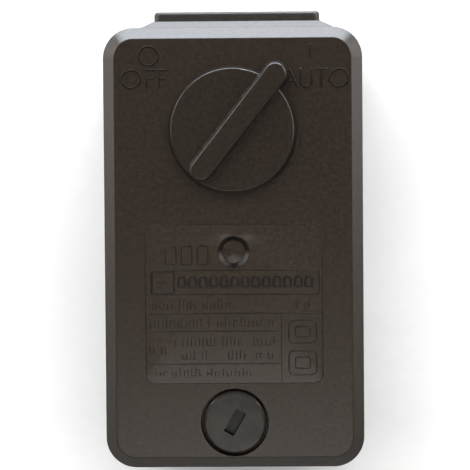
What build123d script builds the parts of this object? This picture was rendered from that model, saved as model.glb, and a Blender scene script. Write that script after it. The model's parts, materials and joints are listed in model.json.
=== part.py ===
"""Pressure switch for a motor: a three-pole contact block worked by a diaphragm and by an off/auto selector.

Frame: origin at the mouth of the threaded port, in its axis. +Z runs up the port's axis to the cover's face,
+Y points to the cable entries and +X completes the right hand. All lengths are in millimetres.
"""
from build123d import *
import math
import os

# ---------------------------------------------------------------- clearances
fit_gap = 0.05          # a part that is pressed or glued where it sits
turn_gap = 0.08         # a shaft that turns or slides in its hole
free_gap = 0.3          # two parts that pass each other
screw_gap = 0.15        # a screw in its through hole

# ---------------------------------------------------------------- housing
cover_width = 57.0
cover_length = 97.0
cover_height = 54.0
cover_wall = 2.4
cover_top = 2.8
corner_radius = 6.7
edge_bevel = 2.45
edge_round = 0.35
base_height = 22.0
base_wall = 3.0
base_floor = 5.0
base_bevel = 1.2
groove_width = 1.2
groove_depth = 1.2
tongue_depth = 0.5
gate_mark_radius = 3.5
gate_mark_depth = 1.0
gate_mark_y = -0.8

# ---------------------------------------------------------------- pressure end
hex_flats = 24.0
hex_height = 7.0
flange_side = 48.0
flange_corner = 6.0
flange_thickness = 7.0
port_radius = 5.94          # the bore inside the thread's crests
diaphragm_radius = 18.0
diaphragm_thickness = 1.2
chamber_radius = 15.0
chamber_depth = 1.8
flange_screw_half = 18.5
flange_screw_radius = 2.45
flange_screw_flats = 8.0
flange_screw_head = 3.5
plunger_disc_radius = 14.0
plunger_disc_thickness = 1.4
plunger_stem_radius = 4.5
plunger_dome = 8.0
plunger_travel = 1.0
lever_gap = 0.1

# ---------------------------------------------------------------- lever and chassis
plunger_arm = 9.0           # port axis to lever pivot
pivot_height = 10.5         # pivot above the base's floor
pivot_radius = 2.0
lever_sheet = 2.0
lever_half_width = 9.1
lever_side = 1.5
lever_arm_sheet = 2.2
lever_web_height = 5.6      # underside of the web above the floor
pin_clip_width = 1.7        # a pin clip's ring outside its pin
lever_reach = 41.0          # pivot to the web's far end
fork_reach = 18.5           # pivot to the fork's tips
foot_side = 45.0
foot_thickness = 2.0
foot_hole_radius = 7.0
cheek_inside = 11.0
cheek_sheet = 1.5
cheek_height = 49.0
bridge_sheet = 2.5
bridge_half_width = 14.5

# ---------------------------------------------------------------- springs and their adjusting screws
main_spring_arm = 21.0
main_spring_radius = 6.2
main_spring_wire = 0.95
main_spring_turns = 7.0
main_spring_top = 37.0      # above the floor
main_screw_radius = 2.9     # over the thread's crests
main_screw_core = 2.5       # at the thread's root
main_screw_flats = 7.0
diff_spring_arm = 35.0
diff_spring_radius = 3.4
diff_spring_wire = 0.55
diff_spring_turns = 9.0
diff_spring_top = 31.0
diff_screw_radius = 1.95
diff_screw_core = 1.6
diff_screw_flats = 5.0
nut_thickness = 4.0
nut_side_gap = 0.2
collar_thickness = 2.0
screw_tail = 14.0           # adjusting screw's end below its nut's resting place

# ---------------------------------------------------------------- contact block
pole_pitch = 15.0
poles = 3
block_length = 26.0
block_height = 24.5
block_floor = 2.5
block_side_wall = 3.8
chamber_width = 10.4
chamber_half_length = 7.5
carrier_thickness = 5.2
carrier_gap = 0.2
carrier_travel = 3.0
strip_width = 8.6
strip_thickness = 1.2
strip_inner = 3.7           # middle of the block to a fixed strip's inner end
seat_depth = 3.5            # top of the block down to the strips' seats
tip_offset = 5.2
tip_radius = 1.5
tip_thickness = 1.0
bridge_width = 7.0
bridge_half_length = 7.0
bridge_thickness = 1.2
contact_gap = 0.05
terminal_offset = 10.2
terminal_radius = 1.7
terminal_head = 2.8
clamp_side = 6.4
clamp_thickness = 1.0
block_screw_radius = 1.4
block_screw_head = 2.5
block_screw_offset = 10.6
blade_sheet = 0.4

# ---------------------------------------------------------------- selector knob
knob_foot_radius = 14.2
knob_top_radius = 13.45
knob_disc_height = 5.0
grip_width = 4.7
grip_draft = 0.7            # how much wider the grip is at its foot, each side
grip_height = 5.4           # above the disc
grip_tip = 17.7             # knob axis to the pointer's tip
grip_angle = 52.0           # pointer from +X
shaft_radius = 4.95
shaft_lower_radius = 3.5
hub_radius = 8.2
hub_depth = 7.2
o_ring_wire = 0.95
clip_thickness = 0.7
cam_radius = 6.3
cam_height = 41.0           # middle of the slanting cam face above the floor
cam_length = 14.0
knob_turn = 76.0            # auto to off
follower_offset = 4.5
follower_radius = 1.4

# ---------------------------------------------------------------- cover screw
screw_inset = 10.1          # screw axis to the cover's end
recess_radius = 7.5
recess_depth = 4.5
screw_head_radius = 6.95
screw_head_height = 3.6
screw_head_round = 0.7
screw_slot_length = 5.7
screw_slot_width = 2.5
screw_slot_depth = 2.4
screw_slot_angle = 60.0
seal_thickness = 0.8
stud_radius = 2.4
stud_core = 2.05            # at the thread's root
stud_thread = 14.0
tube_radius = 5.2
tube_end = 41.0             # end of the guide tube above the floor
pillar_flats = 8.0
pillar_height = 31.0
thread_depth = 14.0

# ---------------------------------------------------------------- cable entries
boss_bottom = 16.0
boss_reach = 3.0            # boss end beyond the cover's end
boss_half_width = 26.0
plate_half_width = 19.6
plate_thickness = 2.2
plate_top = 40.0
plate_round = 0.8
ramp_rise = 2.5
entry_half_pitch = 9.5
entry_height = 27.0
grommet_bore = 3.75
grommet_body = 7.2
grommet_flange = 8.4
grommet_nose = 5.5
plate_screw_radius = 1.45
plate_screw_head = 2.3
plate_screw_sink = 1.1      # the head's seat below the plate's outer face
plate_screw_hole = 4.6      # depth of the screw's hole in the base
plate_screw_offset = 5.8    # each screw above or below the entries' axes

# ---------------------------------------------------------------- levels and places worked out from these
flange_top = hex_height + flange_thickness
floor_top = flange_top + base_floor
parting = flange_top + base_height
face = parting + cover_height
roof = face - cover_top
chamber_floor = flange_top - diaphragm_thickness - chamber_depth
plunger_pocket = plunger_disc_thickness + plunger_travel + 0.2
half_length = cover_length / 2

foot_top = floor_top + foot_thickness
pivot_y = plunger_arm
pivot_z = floor_top + pivot_height
web_bottom = floor_top + lever_web_height
web_top = web_bottom + lever_sheet
plunger_top = web_bottom - lever_gap
main_spring_y = pivot_y - main_spring_arm
diff_spring_y = pivot_y - diff_spring_arm
cheek_top = floor_top + cheek_height
chassis_front = diff_spring_y - 6.0
chassis_back = pivot_y + 3.0
screw_hole = flange_screw_radius + screw_gap

pin_clip_radius = pivot_radius + pin_clip_width
block_y = pivot_y + pin_clip_radius + free_gap + block_length / 2
block_bottom = foot_top
block_top = block_bottom + block_height
block_half_width = pole_pitch * (poles - 1) / 2 + chamber_width / 2 + block_side_wall
block_inside = block_bottom + block_floor
strip_seat = block_top - seat_depth
strip_top = strip_seat + strip_thickness
pole_x = [pole_pitch * (i - (poles - 1) / 2) for i in range(poles)]
barrier_x = [pole_pitch * (i - (poles - 2) / 2) for i in range(poles - 1)]
bridge_top = strip_seat - tip_thickness - contact_gap - (tip_thickness - contact_gap)
bridge_bottom = bridge_top - bridge_thickness
carrier_half_length = pole_x[-1] + chamber_width / 2 + 1.7
slot_half_length = carrier_half_length + carrier_gap + 0.1
carrier_bottom = block_inside + 5.0
carrier_floor = carrier_bottom + 3.0
carrier_roof = strip_seat + 0.6
carrier_top = carrier_roof + 3.4

knob_y = block_y
knob_foot = face + 0.35
disc_top = knob_foot + knob_disc_height
grip_top = disc_top + grip_height
cam_z = floor_top + cam_height
cam_slope = carrier_travel / (2 * follower_offset * math.sin(math.radians(knob_turn / 2)))
cam_tilt = math.degrees(math.atan(cam_slope))
cam_uphill = 90.0 + 90.0 - knob_turn / 2
hub_end = roof - hub_depth
clip_z = hub_end - 0.25 - clip_thickness
shaft_end = cam_z + cam_radius * cam_slope + 0.6
follower_height = (
    cam_z
    + follower_offset * cam_slope * math.sin(math.radians(knob_turn / 2))
    - follower_radius / math.cos(math.radians(cam_tilt))
    - turn_gap
)

screw_y = -half_length + screw_inset
recess_floor = face - recess_depth
head_bottom = recess_floor + seal_thickness
head_top = head_bottom + screw_head_height
tube_bottom = floor_top + tube_end
pillar_top = floor_top + pillar_height
stud_end = pillar_top - thread_depth + 2.0

boss_end = half_length + boss_reach
plate_outer = boss_end + plate_thickness
plate_screw_seat = plate_outer - plate_screw_sink
counterbore = 1.5
entry_x = [-entry_half_pitch, entry_half_pitch]


def label_and_write(part, name):
    """Gives a finished piece its name and writes it as one STEP file."""
    part.label = name
    export_step(part, f"parts/{name}.step")


def across_hole(x, z):
    """A plane through a cable entry's axis, with the axis along its own x and the radius along its own y."""
    return Plane(origin=(x, 0, z), x_dir=(0, 1, 0), z_dir=(1, 0, 0))


os.makedirs("parts", exist_ok=True)

# ================================================================ pressure end
with BuildPart() as pressure_flange:
    with BuildSketch(Plane.XY.offset(hex_height)):
        RectangleRounded(flange_side, flange_side, flange_corner)
    extrude(amount=flange_thickness)
    fillet(pressure_flange.faces().sort_by(Axis.Z)[0].edges(), radius=0.8)
    with BuildSketch():
        RegularPolygon(hex_flats / 2, 6, major_radius=False)
    extrude(amount=hex_height)
    chamfer(pressure_flange.faces().sort_by(Axis.Z)[0].edges(), length=0.8)
    with BuildSketch(Plane.XY.offset(flange_top)):
        Circle(diaphragm_radius + fit_gap)
    extrude(amount=-diaphragm_thickness, mode=Mode.SUBTRACT)
    with BuildSketch(Plane.XY.offset(flange_top - diaphragm_thickness)):
        Circle(chamber_radius)
    extrude(amount=-chamber_depth, mode=Mode.SUBTRACT)
    with BuildSketch(Plane.XY):
        Circle(port_radius)
    extrude(amount=chamber_floor, mode=Mode.SUBTRACT)
    with BuildSketch(Plane.XY.offset(hex_height)):
        with GridLocations(2 * flange_screw_half, 2 * flange_screw_half, 2, 2):
            Circle(screw_hole)
    extrude(amount=flange_thickness, mode=Mode.SUBTRACT)
label_and_write(pressure_flange.part, "pressure_flange")

with BuildPart() as diaphragm:
    with BuildSketch(Plane.XY.offset(flange_top)):
        Circle(diaphragm_radius)
    extrude(amount=-diaphragm_thickness)
label_and_write(diaphragm.part, "diaphragm")

plunger_shoulder = flange_top + plunger_disc_thickness
dome_centre = plunger_top - plunger_dome
dome_start = math.degrees(math.acos(plunger_stem_radius / plunger_dome))
dome_edge = dome_centre + plunger_dome * math.sin(math.radians(dome_start))
with BuildPart() as thrust_plunger:
    with BuildSketch(Plane.XZ):
        with BuildLine():
            Polyline(
                (0, plunger_top),
                (0, flange_top),
                (plunger_disc_radius, flange_top),
                (plunger_disc_radius, plunger_shoulder),
                (plunger_stem_radius, plunger_shoulder),
                (plunger_stem_radius, dome_edge),
            )
            CenterArc((0, dome_centre), plunger_dome, dome_start, 90 - dome_start)
        make_face()
    revolve(axis=Axis.Z)
label_and_write(thrust_plunger.part, "thrust_plunger")

with BuildPart() as flange_screws:
    with BuildSketch(Plane.XY.offset(hex_height)):
        with GridLocations(2 * flange_screw_half, 2 * flange_screw_half, 2, 2):
            RegularPolygon(flange_screw_flats / 2, 6, major_radius=False)
    extrude(amount=-flange_screw_head)
    chamfer(flange_screws.faces().group_by(Axis.Z)[0].edges(), length=0.5)
    with BuildSketch(Plane.XY.offset(hex_height)):
        with GridLocations(2 * flange_screw_half, 2 * flange_screw_half, 2, 2):
            Circle(flange_screw_radius)
    extrude(amount=foot_top + 1.3 - hex_height)
label_and_write(flange_screws.part, "flange_screws")

# ================================================================ base
rim_inset = base_wall / 2
groove_outer = (cover_width - 2 * rim_inset + groove_width, cover_length - 2 * rim_inset + groove_width)
groove_inner = (groove_outer[0] - 2 * groove_width, groove_outer[1] - 2 * groove_width)
groove_corner = corner_radius - rim_inset + groove_width / 2

with BuildPart() as base:
    with BuildSketch(Plane.XY.offset(flange_top)):
        RectangleRounded(cover_width, cover_length, corner_radius)
    extrude(amount=base_height)
    chamfer(base.faces().sort_by(Axis.Z)[0].edges(), length=base_bevel)
    # the boss that carries the cable entries, its top sloping away from the cover
    with BuildSketch(Plane.XY.offset(boss_bottom)):
        with BuildLine():
            Polyline(
                (-boss_half_width, half_length - 4),
                (-boss_half_width, half_length - 1.3),
                (-boss_half_width + 2.2, boss_end - 2.0),
                (-plate_half_width, boss_end),
                (plate_half_width, boss_end),
                (boss_half_width - 2.2, boss_end - 2.0),
                (boss_half_width, half_length - 1.3),
                (boss_half_width, half_length - 4),
                close=True,
            )
        make_face()
    extrude(amount=plate_top + ramp_rise - boss_bottom)
    with BuildSketch(Plane.YZ):
        with BuildLine():
            Polyline(
                (boss_end + 1, plate_top - ramp_rise / boss_reach),
                (half_length, plate_top + ramp_rise),
                (half_length, plate_top + 20),
                (boss_end + 1, plate_top + 20),
                close=True,
            )
        make_face()
    extrude(amount=cover_width, both=True, mode=Mode.SUBTRACT)
    with BuildSketch(Plane.XY.offset(parting)):
        RectangleRounded(
            cover_width + 2 * free_gap, cover_length + 2 * free_gap, corner_radius + free_gap
        )
    extrude(amount=cover_height, mode=Mode.SUBTRACT)
    # the inside
    with BuildSketch(Plane.XY.offset(floor_top)):
        RectangleRounded(
            cover_width - 2 * base_wall, cover_length - 2 * base_wall, corner_radius - base_wall
        )
    extrude(amount=base_height, mode=Mode.SUBTRACT)
    with BuildSketch(Plane.XY.offset(floor_top)):
        with Locations((0, block_y + (block_length - 14) / 2)):
            RectangleRounded(2 * block_half_width - 8, 14, 2)
    extrude(amount=foot_thickness)
    # the groove for the gasket
    with BuildSketch(Plane.XY.offset(parting)):
        RectangleRounded(groove_outer[0], groove_outer[1], groove_corner)
        RectangleRounded(
            groove_inner[0], groove_inner[1], groove_corner - groove_width, mode=Mode.SUBTRACT
        )
    extrude(amount=-groove_depth, mode=Mode.SUBTRACT)
    # the plunger's pocket and hole
    with BuildSketch(Plane.XY.offset(flange_top)):
        Circle(plunger_disc_radius + 0.6)
    extrude(amount=plunger_pocket, mode=Mode.SUBTRACT)
    with BuildSketch(Plane.XY.offset(flange_top)):
        Circle(plunger_stem_radius + turn_gap)
        with GridLocations(2 * flange_screw_half, 2 * flange_screw_half, 2, 2):
            Circle(screw_hole)
    extrude(amount=base_floor, mode=Mode.SUBTRACT)
    # blind holes in the floor: pillar spigot, earth screw and contact block screws
    with BuildSketch(Plane.XY.offset(floor_top)):
        with Locations((0, screw_y)):
            Circle(3.0 + fit_gap)
        with Locations((foot_side / 2 - 5, 0)):
            Circle(2.3)
    extrude(amount=-2.5, mode=Mode.SUBTRACT)
    with BuildSketch(Plane.XY.offset(foot_top)):
        with Locations(*[(x, block_y + block_screw_offset) for x in barrier_x]):
            Circle(block_screw_radius + fit_gap)
    extrude(amount=-(foot_thickness + 3.5), mode=Mode.SUBTRACT)
    # the cable entries, with a seat for each grommet's flange
    for x in entry_x:
        with BuildSketch(across_hole(x, entry_height)):
            with BuildLine():
                Polyline(
                    (half_length - base_wall - 1, 0),
                    (half_length - base_wall - 1, grommet_body + fit_gap),
                    (boss_end - counterbore, grommet_body + fit_gap),
                    (boss_end - counterbore, grommet_flange + fit_gap),
                    (boss_end + 1, grommet_flange + fit_gap),
                    (boss_end + 1, 0),
                    close=True,
                )
            make_face()
        revolve(axis=Axis((x, 0, entry_height), (0, 1, 0)), mode=Mode.SUBTRACT)
    # holes for the entry plate's screws
    with BuildSketch(Plane(origin=(0, boss_end, 0), x_dir=(1, 0, 0), z_dir=(0, -1, 0))):
        with Locations((0, entry_height - plate_screw_offset), (0, entry_height + plate_screw_offset)):
            Circle(plate_screw_radius + fit_gap)
    extrude(amount=plate_screw_hole, mode=Mode.SUBTRACT)
label_and_write(base.part, "base")

with BuildPart() as cover_gasket:
    with BuildSketch(Plane.XY.offset(parting - groove_depth)):
        RectangleRounded(
            groove_outer[0] - 2 * fit_gap, groove_outer[1] - 2 * fit_gap, groove_corner - fit_gap
        )
        RectangleRounded(
            groove_inner[0] + 2 * fit_gap,
            groove_inner[1] + 2 * fit_gap,
            groove_corner - groove_width + fit_gap,
            mode=Mode.SUBTRACT,
        )
    extrude(amount=groove_depth - tongue_depth)
label_and_write(cover_gasket.part, "cover_gasket")

# ================================================================ cable entries
with BuildPart() as entry_plate:
    with BuildSketch(Plane(origin=(0, boss_end, 0), x_dir=(-1, 0, 0), z_dir=(0, 1, 0))):
        with Locations((0, (plate_top + boss_bottom) / 2)):
            RectangleRounded(2 * plate_half_width, plate_top - boss_bottom, 1.6)
    extrude(amount=plate_thickness)
    fillet(entry_plate.faces().sort_by(Axis.Y)[-1].edges(), radius=plate_round)
    with BuildSketch(Plane(origin=(0, boss_end, 0), x_dir=(1, 0, 0), z_dir=(0, -1, 0))):
        with Locations(*[(x, entry_height) for x in entry_x]):
            Circle(grommet_nose + fit_gap)
        with Locations((0, entry_height - plate_screw_offset), (0, entry_height + plate_screw_offset)):
            Circle(plate_screw_radius + screw_gap)
    extrude(amount=-2 * plate_thickness, mode=Mode.SUBTRACT)
    with BuildSketch(Plane(origin=(0, plate_outer, 0), x_dir=(1, 0, 0), z_dir=(0, -1, 0))):
        with Locations((0, entry_height - plate_screw_offset), (0, entry_height + plate_screw_offset)):
            Circle(plate_screw_head + screw_gap)
    extrude(amount=plate_screw_sink, mode=Mode.SUBTRACT)
label_and_write(entry_plate.part, "entry_plate")

with BuildPart() as entry_plate_screws:
    with BuildSketch(Plane(origin=(0, plate_screw_seat, 0), x_dir=(1, 0, 0), z_dir=(0, -1, 0))):
        with Locations((0, entry_height - plate_screw_offset), (0, entry_height + plate_screw_offset)):
            Circle(plate_screw_head)
    extrude(amount=-0.9)
    fillet(entry_plate_screws.faces().group_by(Axis.Y)[-1].edges(), radius=0.3)
    with BuildSketch(Plane(origin=(0, plate_screw_seat, 0), x_dir=(1, 0, 0), z_dir=(0, -1, 0))):
        with Locations((0, entry_height - plate_screw_offset), (0, entry_height + plate_screw_offset)):
            Circle(plate_screw_radius)
    extrude(amount=plate_screw_seat - boss_end + plate_screw_hole - 0.5)
    with BuildSketch(Plane(origin=(0, plate_screw_seat + 0.9, 0), x_dir=(1, 0, 0), z_dir=(0, -1, 0))):
        with Locations((0, entry_height - plate_screw_offset), (0, entry_height + plate_screw_offset)):
            Rectangle(5, 0.6, rotation=20)
    extrude(amount=0.5, mode=Mode.SUBTRACT)
label_and_write(entry_plate_screws.part, "entry_plate_screws")

with BuildPart() as cable_grommets:
    for x in entry_x:
        with BuildSketch(across_hole(x, entry_height)):
            with BuildLine():
                Polyline(
                    (half_length - base_wall - 0.3, grommet_bore),
                    (half_length - base_wall - 0.3, grommet_bore + 1.2),
                    (half_length - base_wall + 0.6, grommet_body),
                    (boss_end - counterbore, grommet_body),
                    (boss_end - counterbore, grommet_flange),
                    (boss_end, grommet_flange),
                    (boss_end, grommet_nose),
                    (plate_outer - 0.4, grommet_nose),
                    (plate_outer, grommet_nose - 0.4),
                    (plate_outer, grommet_bore),
                    close=True,
                )
            make_face()
        revolve(axis=Axis((x, 0, entry_height), (0, 1, 0)))
label_and_write(cable_grommets.part, "cable_grommets")

# ================================================================ cover
with BuildPart() as cover:
    with BuildSketch(Plane.XY.offset(parting)):
        RectangleRounded(cover_width, cover_length, corner_radius)
    extrude(amount=cover_height)
    chamfer(cover.faces().sort_by(Axis.Z)[-1].edges(), length=edge_bevel)
    fillet(cover.faces().sort_by(Axis.Z)[-1].edges(), radius=edge_round)
    with BuildSketch(Plane.XY.offset(parting)):
        RectangleRounded(
            cover_width - 2 * cover_wall, cover_length - 2 * cover_wall, corner_radius - cover_wall
        )
    extrude(amount=roof - parting, mode=Mode.SUBTRACT)
    # the hub round the knob's shaft and the guide tube round the cover screw
    with BuildSketch(Plane.XY.offset(hub_end)):
        with Locations((0, knob_y)):
            Circle(hub_radius)
    extrude(until=Until.NEXT)
    with BuildSketch(Plane.XY.offset(recess_floor - 2.5)):
        with Locations((0, screw_y)):
            Circle(recess_radius + 1.5)
    extrude(until=Until.NEXT)
    with BuildSketch(Plane.XY.offset(tube_bottom)):
        with Locations((0, screw_y)):
            Circle(tube_radius)
    extrude(amount=recess_floor - 1.0 - tube_bottom)
    with BuildSketch(Plane.XY.offset(face)):
        with Locations((0, screw_y)):
            Circle(recess_radius)
    extrude(amount=-recess_depth, mode=Mode.SUBTRACT)
    with BuildSketch(Plane.XY.offset(face)):
        with Locations((0, screw_y)):
            Circle(stud_radius + free_gap)
        with Locations((0, knob_y)):
            Circle(shaft_radius + turn_gap)
    extrude(amount=-(face - tube_bottom), mode=Mode.SUBTRACT)
    # the gate mark in the middle of the face: a dish with a small nib
    with BuildSketch(Plane.XZ.offset(-gate_mark_y)):
        with BuildLine():
            Polyline(
                (0, face - gate_mark_depth + 0.45),
                (0.7, face - gate_mark_depth + 0.35),
                (0.9, face - gate_mark_depth),
                (gate_mark_radius - 1.1, face - gate_mark_depth + 0.1),
                (gate_mark_radius, face),
                (gate_mark_radius, face + 1),
                (0, face + 1),
                close=True,
            )
        make_face()
    revolve(axis=Axis((0, gate_mark_y, 0), (0, 0, 1)), mode=Mode.SUBTRACT)
    # the tongue that presses on the gasket
    with BuildSketch(Plane.XY.offset(parting)):
        RectangleRounded(
            groove_outer[0] - 2 * fit_gap, groove_outer[1] - 2 * fit_gap, groove_corner - fit_gap
        )
        RectangleRounded(
            groove_inner[0] + 2 * fit_gap,
            groove_inner[1] + 2 * fit_gap,
            groove_corner - groove_width + fit_gap,
            mode=Mode.SUBTRACT,
        )
    extrude(amount=-tongue_depth)
label_and_write(cover.part, "cover")

# ================================================================ cover screw
with BuildPart() as cover_screw_head:
    with BuildSketch(Plane.XY.offset(head_bottom)):
        with Locations((0, screw_y)):
            Circle(screw_head_radius)
    extrude(amount=screw_head_height)
    fillet(cover_screw_head.faces().sort_by(Axis.Z)[-1].edges(), radius=screw_head_round)
    with BuildSketch(Plane.XY.offset(head_top)):
        with Locations((0, screw_y)):
            Rectangle(screw_slot_length, screw_slot_width, rotation=screw_slot_angle)
    extrude(amount=-screw_slot_depth, mode=Mode.SUBTRACT)
    with BuildSketch(Plane.XY.offset(head_bottom)):
        with Locations((0, screw_y)):
            Circle(stud_radius + 0.02)
    extrude(amount=0.8, mode=Mode.SUBTRACT)
label_and_write(cover_screw_head.part, "cover_screw_head")

with BuildPart() as cover_screw_stud:
    with BuildSketch(Plane.XY.offset(stud_end)):
        with Locations((0, screw_y)):
            Circle(stud_core)
    extrude(amount=stud_thread)
    chamfer(cover_screw_stud.faces().sort_by(Axis.Z)[0].edges(), length=0.4)
    with BuildSketch(Plane.XY.offset(stud_end + stud_thread)):
        with Locations((0, screw_y)):
            Circle(stud_radius)
    extrude(amount=head_bottom + 0.75 - stud_end - stud_thread)
label_and_write(cover_screw_stud.part, "cover_screw_stud")

with BuildPart() as cover_screw_seal:
    with BuildSketch(Plane.XY.offset(recess_floor)):
        with Locations((0, screw_y)):
            Circle(screw_head_radius - 0.6)
            Circle(stud_radius + free_gap, mode=Mode.SUBTRACT)
    extrude(amount=seal_thickness)
label_and_write(cover_screw_seal.part, "cover_screw_seal")

with BuildPart() as cover_screw_retainer:
    with BuildSketch(Plane.XY.offset(tube_bottom - 0.3 - 1.0)):
        with Locations((0, screw_y)):
            Circle(tube_radius)
            Circle(stud_radius + 0.02, mode=Mode.SUBTRACT)
    extrude(amount=1.0)
label_and_write(cover_screw_retainer.part, "cover_screw_retainer")

with BuildPart() as cover_pillar:
    with BuildSketch(Plane.XY.offset(floor_top)):
        with Locations((0, screw_y)):
            RegularPolygon(pillar_flats / 2, 6, major_radius=False)
    extrude(amount=pillar_height)
    with BuildSketch(Plane.XY.offset(floor_top - 2.4)):
        with Locations((0, screw_y)):
            Circle(3.0)
    extrude(amount=2.4)
    with BuildSketch(Plane.XY.offset(pillar_top)):
        with Locations((0, screw_y)):
            Circle(stud_radius + turn_gap)
    extrude(amount=-thread_depth, mode=Mode.SUBTRACT)
label_and_write(cover_pillar.part, "cover_pillar")

# ================================================================ selector knob
grip_tail = knob_top_radius - 0.35
grip_middle = (grip_tip - grip_tail) / 2
grip_length = grip_tip + grip_tail
grip_plane = Plane(origin=(0, knob_y, 0)).rotated((0, 0, grip_angle))

with BuildPart() as selector_knob:
    with BuildSketch(Plane.XY.offset(knob_foot)):
        with Locations((0, knob_y)):
            Circle(knob_foot_radius)
    with BuildSketch(Plane.XY.offset(disc_top)):
        with Locations((0, knob_y)):
            Circle(knob_top_radius)
    loft()
    # the grip, a little wider at its foot, with its pointer beyond the disc
    with BuildSketch(grip_plane.offset(knob_foot + 0.4)):
        with Locations((grip_middle, 0)):
            SlotOverall(grip_length + 2 * grip_draft, grip_width + 2 * grip_draft)
    with BuildSketch(grip_plane.offset(grip_top)):
        with Locations((grip_middle, 0)):
            SlotOverall(grip_length, grip_width)
    loft()
    fillet(selector_knob.faces().sort_by(Axis.Z)[-1].edges(), radius=0.5)
    fillet(
        selector_knob.edges()
        .filter_by(GeomType.CIRCLE)
        .filter_by(lambda e: abs(e.radius - knob_top_radius) < 0.01 and abs(e.center().Z - disc_top) < 0.01),
        radius=0.35,
    )
    with BuildSketch(Plane.XY.offset(hub_end - 2.0)):
        with Locations((0, knob_y)):
            Circle(shaft_radius)
    extrude(amount=knob_foot - hub_end + 2.0)
    with BuildSketch(Plane.XY.offset(shaft_end)):
        with Locations((0, knob_y)):
            Circle(shaft_lower_radius)
    extrude(amount=hub_end - 2.0 - shaft_end)
    # grooves for the o-ring and the clip
    with BuildSketch(Plane.XY.offset(hub_end + 3.0)):
        with Locations((0, knob_y)):
            Circle(shaft_radius + 1)
            Circle(shaft_radius - 2 * o_ring_wire + 0.03, mode=Mode.SUBTRACT)
    extrude(amount=2 * o_ring_wire + 0.2, mode=Mode.SUBTRACT)
    with BuildSketch(Plane.XY.offset(clip_z - 0.1)):
        with Locations((0, knob_y)):
            Circle(shaft_radius + 1)
            Circle(shaft_radius - 1.35, mode=Mode.SUBTRACT)
    extrude(amount=clip_thickness + 0.2, mode=Mode.SUBTRACT)
label_and_write(selector_knob.part, "selector_knob")

with BuildPart() as knob_o_ring:
    with BuildSketch(Plane.XZ.offset(-knob_y)):
        with Locations((shaft_radius + 0.03 - o_ring_wire, hub_end + 3.1 + o_ring_wire)):
            Circle(o_ring_wire)
    revolve(axis=Axis((0, knob_y, 0), (0, 0, 1)))
label_and_write(knob_o_ring.part, "knob_o_ring")

with BuildPart() as knob_clip:
    with BuildSketch(Plane.XY.offset(clip_z)):
        with Locations((0, knob_y)):
            Circle(hub_radius - 1.2)
            Circle(shaft_radius - 1.35 + 0.02, mode=Mode.SUBTRACT)
        with Locations((0, knob_y - hub_radius)):
            Rectangle(4.6, 2 * hub_radius - 2, mode=Mode.SUBTRACT)
    extrude(amount=clip_thickness)
label_and_write(knob_clip.part, "knob_clip")

with BuildPart() as knob_cam:
    with BuildSketch(Plane.XY.offset(cam_z - cam_radius)):
        with Locations((0, knob_y)):
            Circle(cam_radius)
    extrude(amount=cam_radius + cam_length)
    with BuildSketch(Plane.XY.offset(shaft_end - 0.1)):
        with Locations((0, knob_y)):
            Circle(shaft_lower_radius + fit_gap)
    extrude(amount=cam_length * 2, mode=Mode.SUBTRACT)
    split(
        bisect_by=Plane(
            origin=(0, knob_y, cam_z),
            z_dir=Vector(0, 0, 1)
            .rotate(Axis.Y, -cam_tilt)
            .rotate(Axis.Z, cam_uphill),
        ),
        keep=Keep.TOP,
    )
label_and_write(knob_cam.part, "knob_cam")

# ================================================================ chassis
with BuildPart() as chassis:
    with BuildSketch(Plane.XY.offset(floor_top)):
        Rectangle(foot_side, foot_side)
        Circle(foot_hole_radius, mode=Mode.SUBTRACT)
        with GridLocations(2 * flange_screw_half, 2 * flange_screw_half, 2, 2):
            Circle(flange_screw_radius + fit_gap, mode=Mode.SUBTRACT)
        with Locations((foot_side / 2 - 5, 0)):
            Circle(1.95 + fit_gap, mode=Mode.SUBTRACT)
    extrude(amount=foot_thickness)
    for side in (-1, 1):
        with BuildSketch(Plane.YZ.offset(side * cheek_inside)):
            with BuildLine():
                Polyline(
                    (chassis_front, floor_top),
                    (chassis_back, floor_top),
                    (chassis_back, pivot_z + 6),
                    (pivot_y - 6, pivot_z + 6),
                    (main_spring_y + 8.5, pivot_z + 14),
                    (main_spring_y + 8.5, cheek_top),
                    (main_spring_y + 3, cheek_top),
                    (main_spring_y + 3, cheek_top + bridge_sheet + 0.6),
                    (main_spring_y - 3, cheek_top + bridge_sheet + 0.6),
                    (main_spring_y - 3, cheek_top),
                    (diff_spring_y + 3, cheek_top),
                    (diff_spring_y + 3, cheek_top + bridge_sheet + 0.6),
                    (diff_spring_y - 3, cheek_top + bridge_sheet + 0.6),
                    (diff_spring_y - 3, cheek_top),
                    (chassis_front, cheek_top),
                    close=True,
                )
            make_face()
            with Locations(((main_spring_y + diff_spring_y) / 2, floor_top + cheek_height * 0.55)):
                RectangleRounded(15, 22, 2, mode=Mode.SUBTRACT)
            with Locations((pivot_y, pivot_z)):
                Circle(pivot_radius + fit_gap, mode=Mode.SUBTRACT)
        extrude(amount=side * cheek_sheet)
label_and_write(chassis.part, "chassis")

with BuildPart() as spring_bridge:
    with BuildSketch(Plane.XY.offset(cheek_top)):
        with Locations((0, (main_spring_y + diff_spring_y) / 2)):
            RectangleRounded(2 * bridge_half_width, main_spring_y - diff_spring_y + 14, 1.5)
        with Locations((0, main_spring_y)):
            Circle(main_screw_flats / math.sqrt(3) + 0.2, mode=Mode.SUBTRACT)
        with Locations((0, diff_spring_y)):
            Circle(diff_screw_flats / math.sqrt(3) + 0.2, mode=Mode.SUBTRACT)
        for x in (-1, 1):
            with Locations(
                *[(x * (cheek_inside + cheek_sheet / 2), y) for y in (main_spring_y, diff_spring_y)]
            ):
                Rectangle(cheek_sheet + 2 * fit_gap, 6 + 2 * fit_gap, mode=Mode.SUBTRACT)
    extrude(amount=bridge_sheet)
label_and_write(spring_bridge.part, "spring_bridge")

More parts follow.
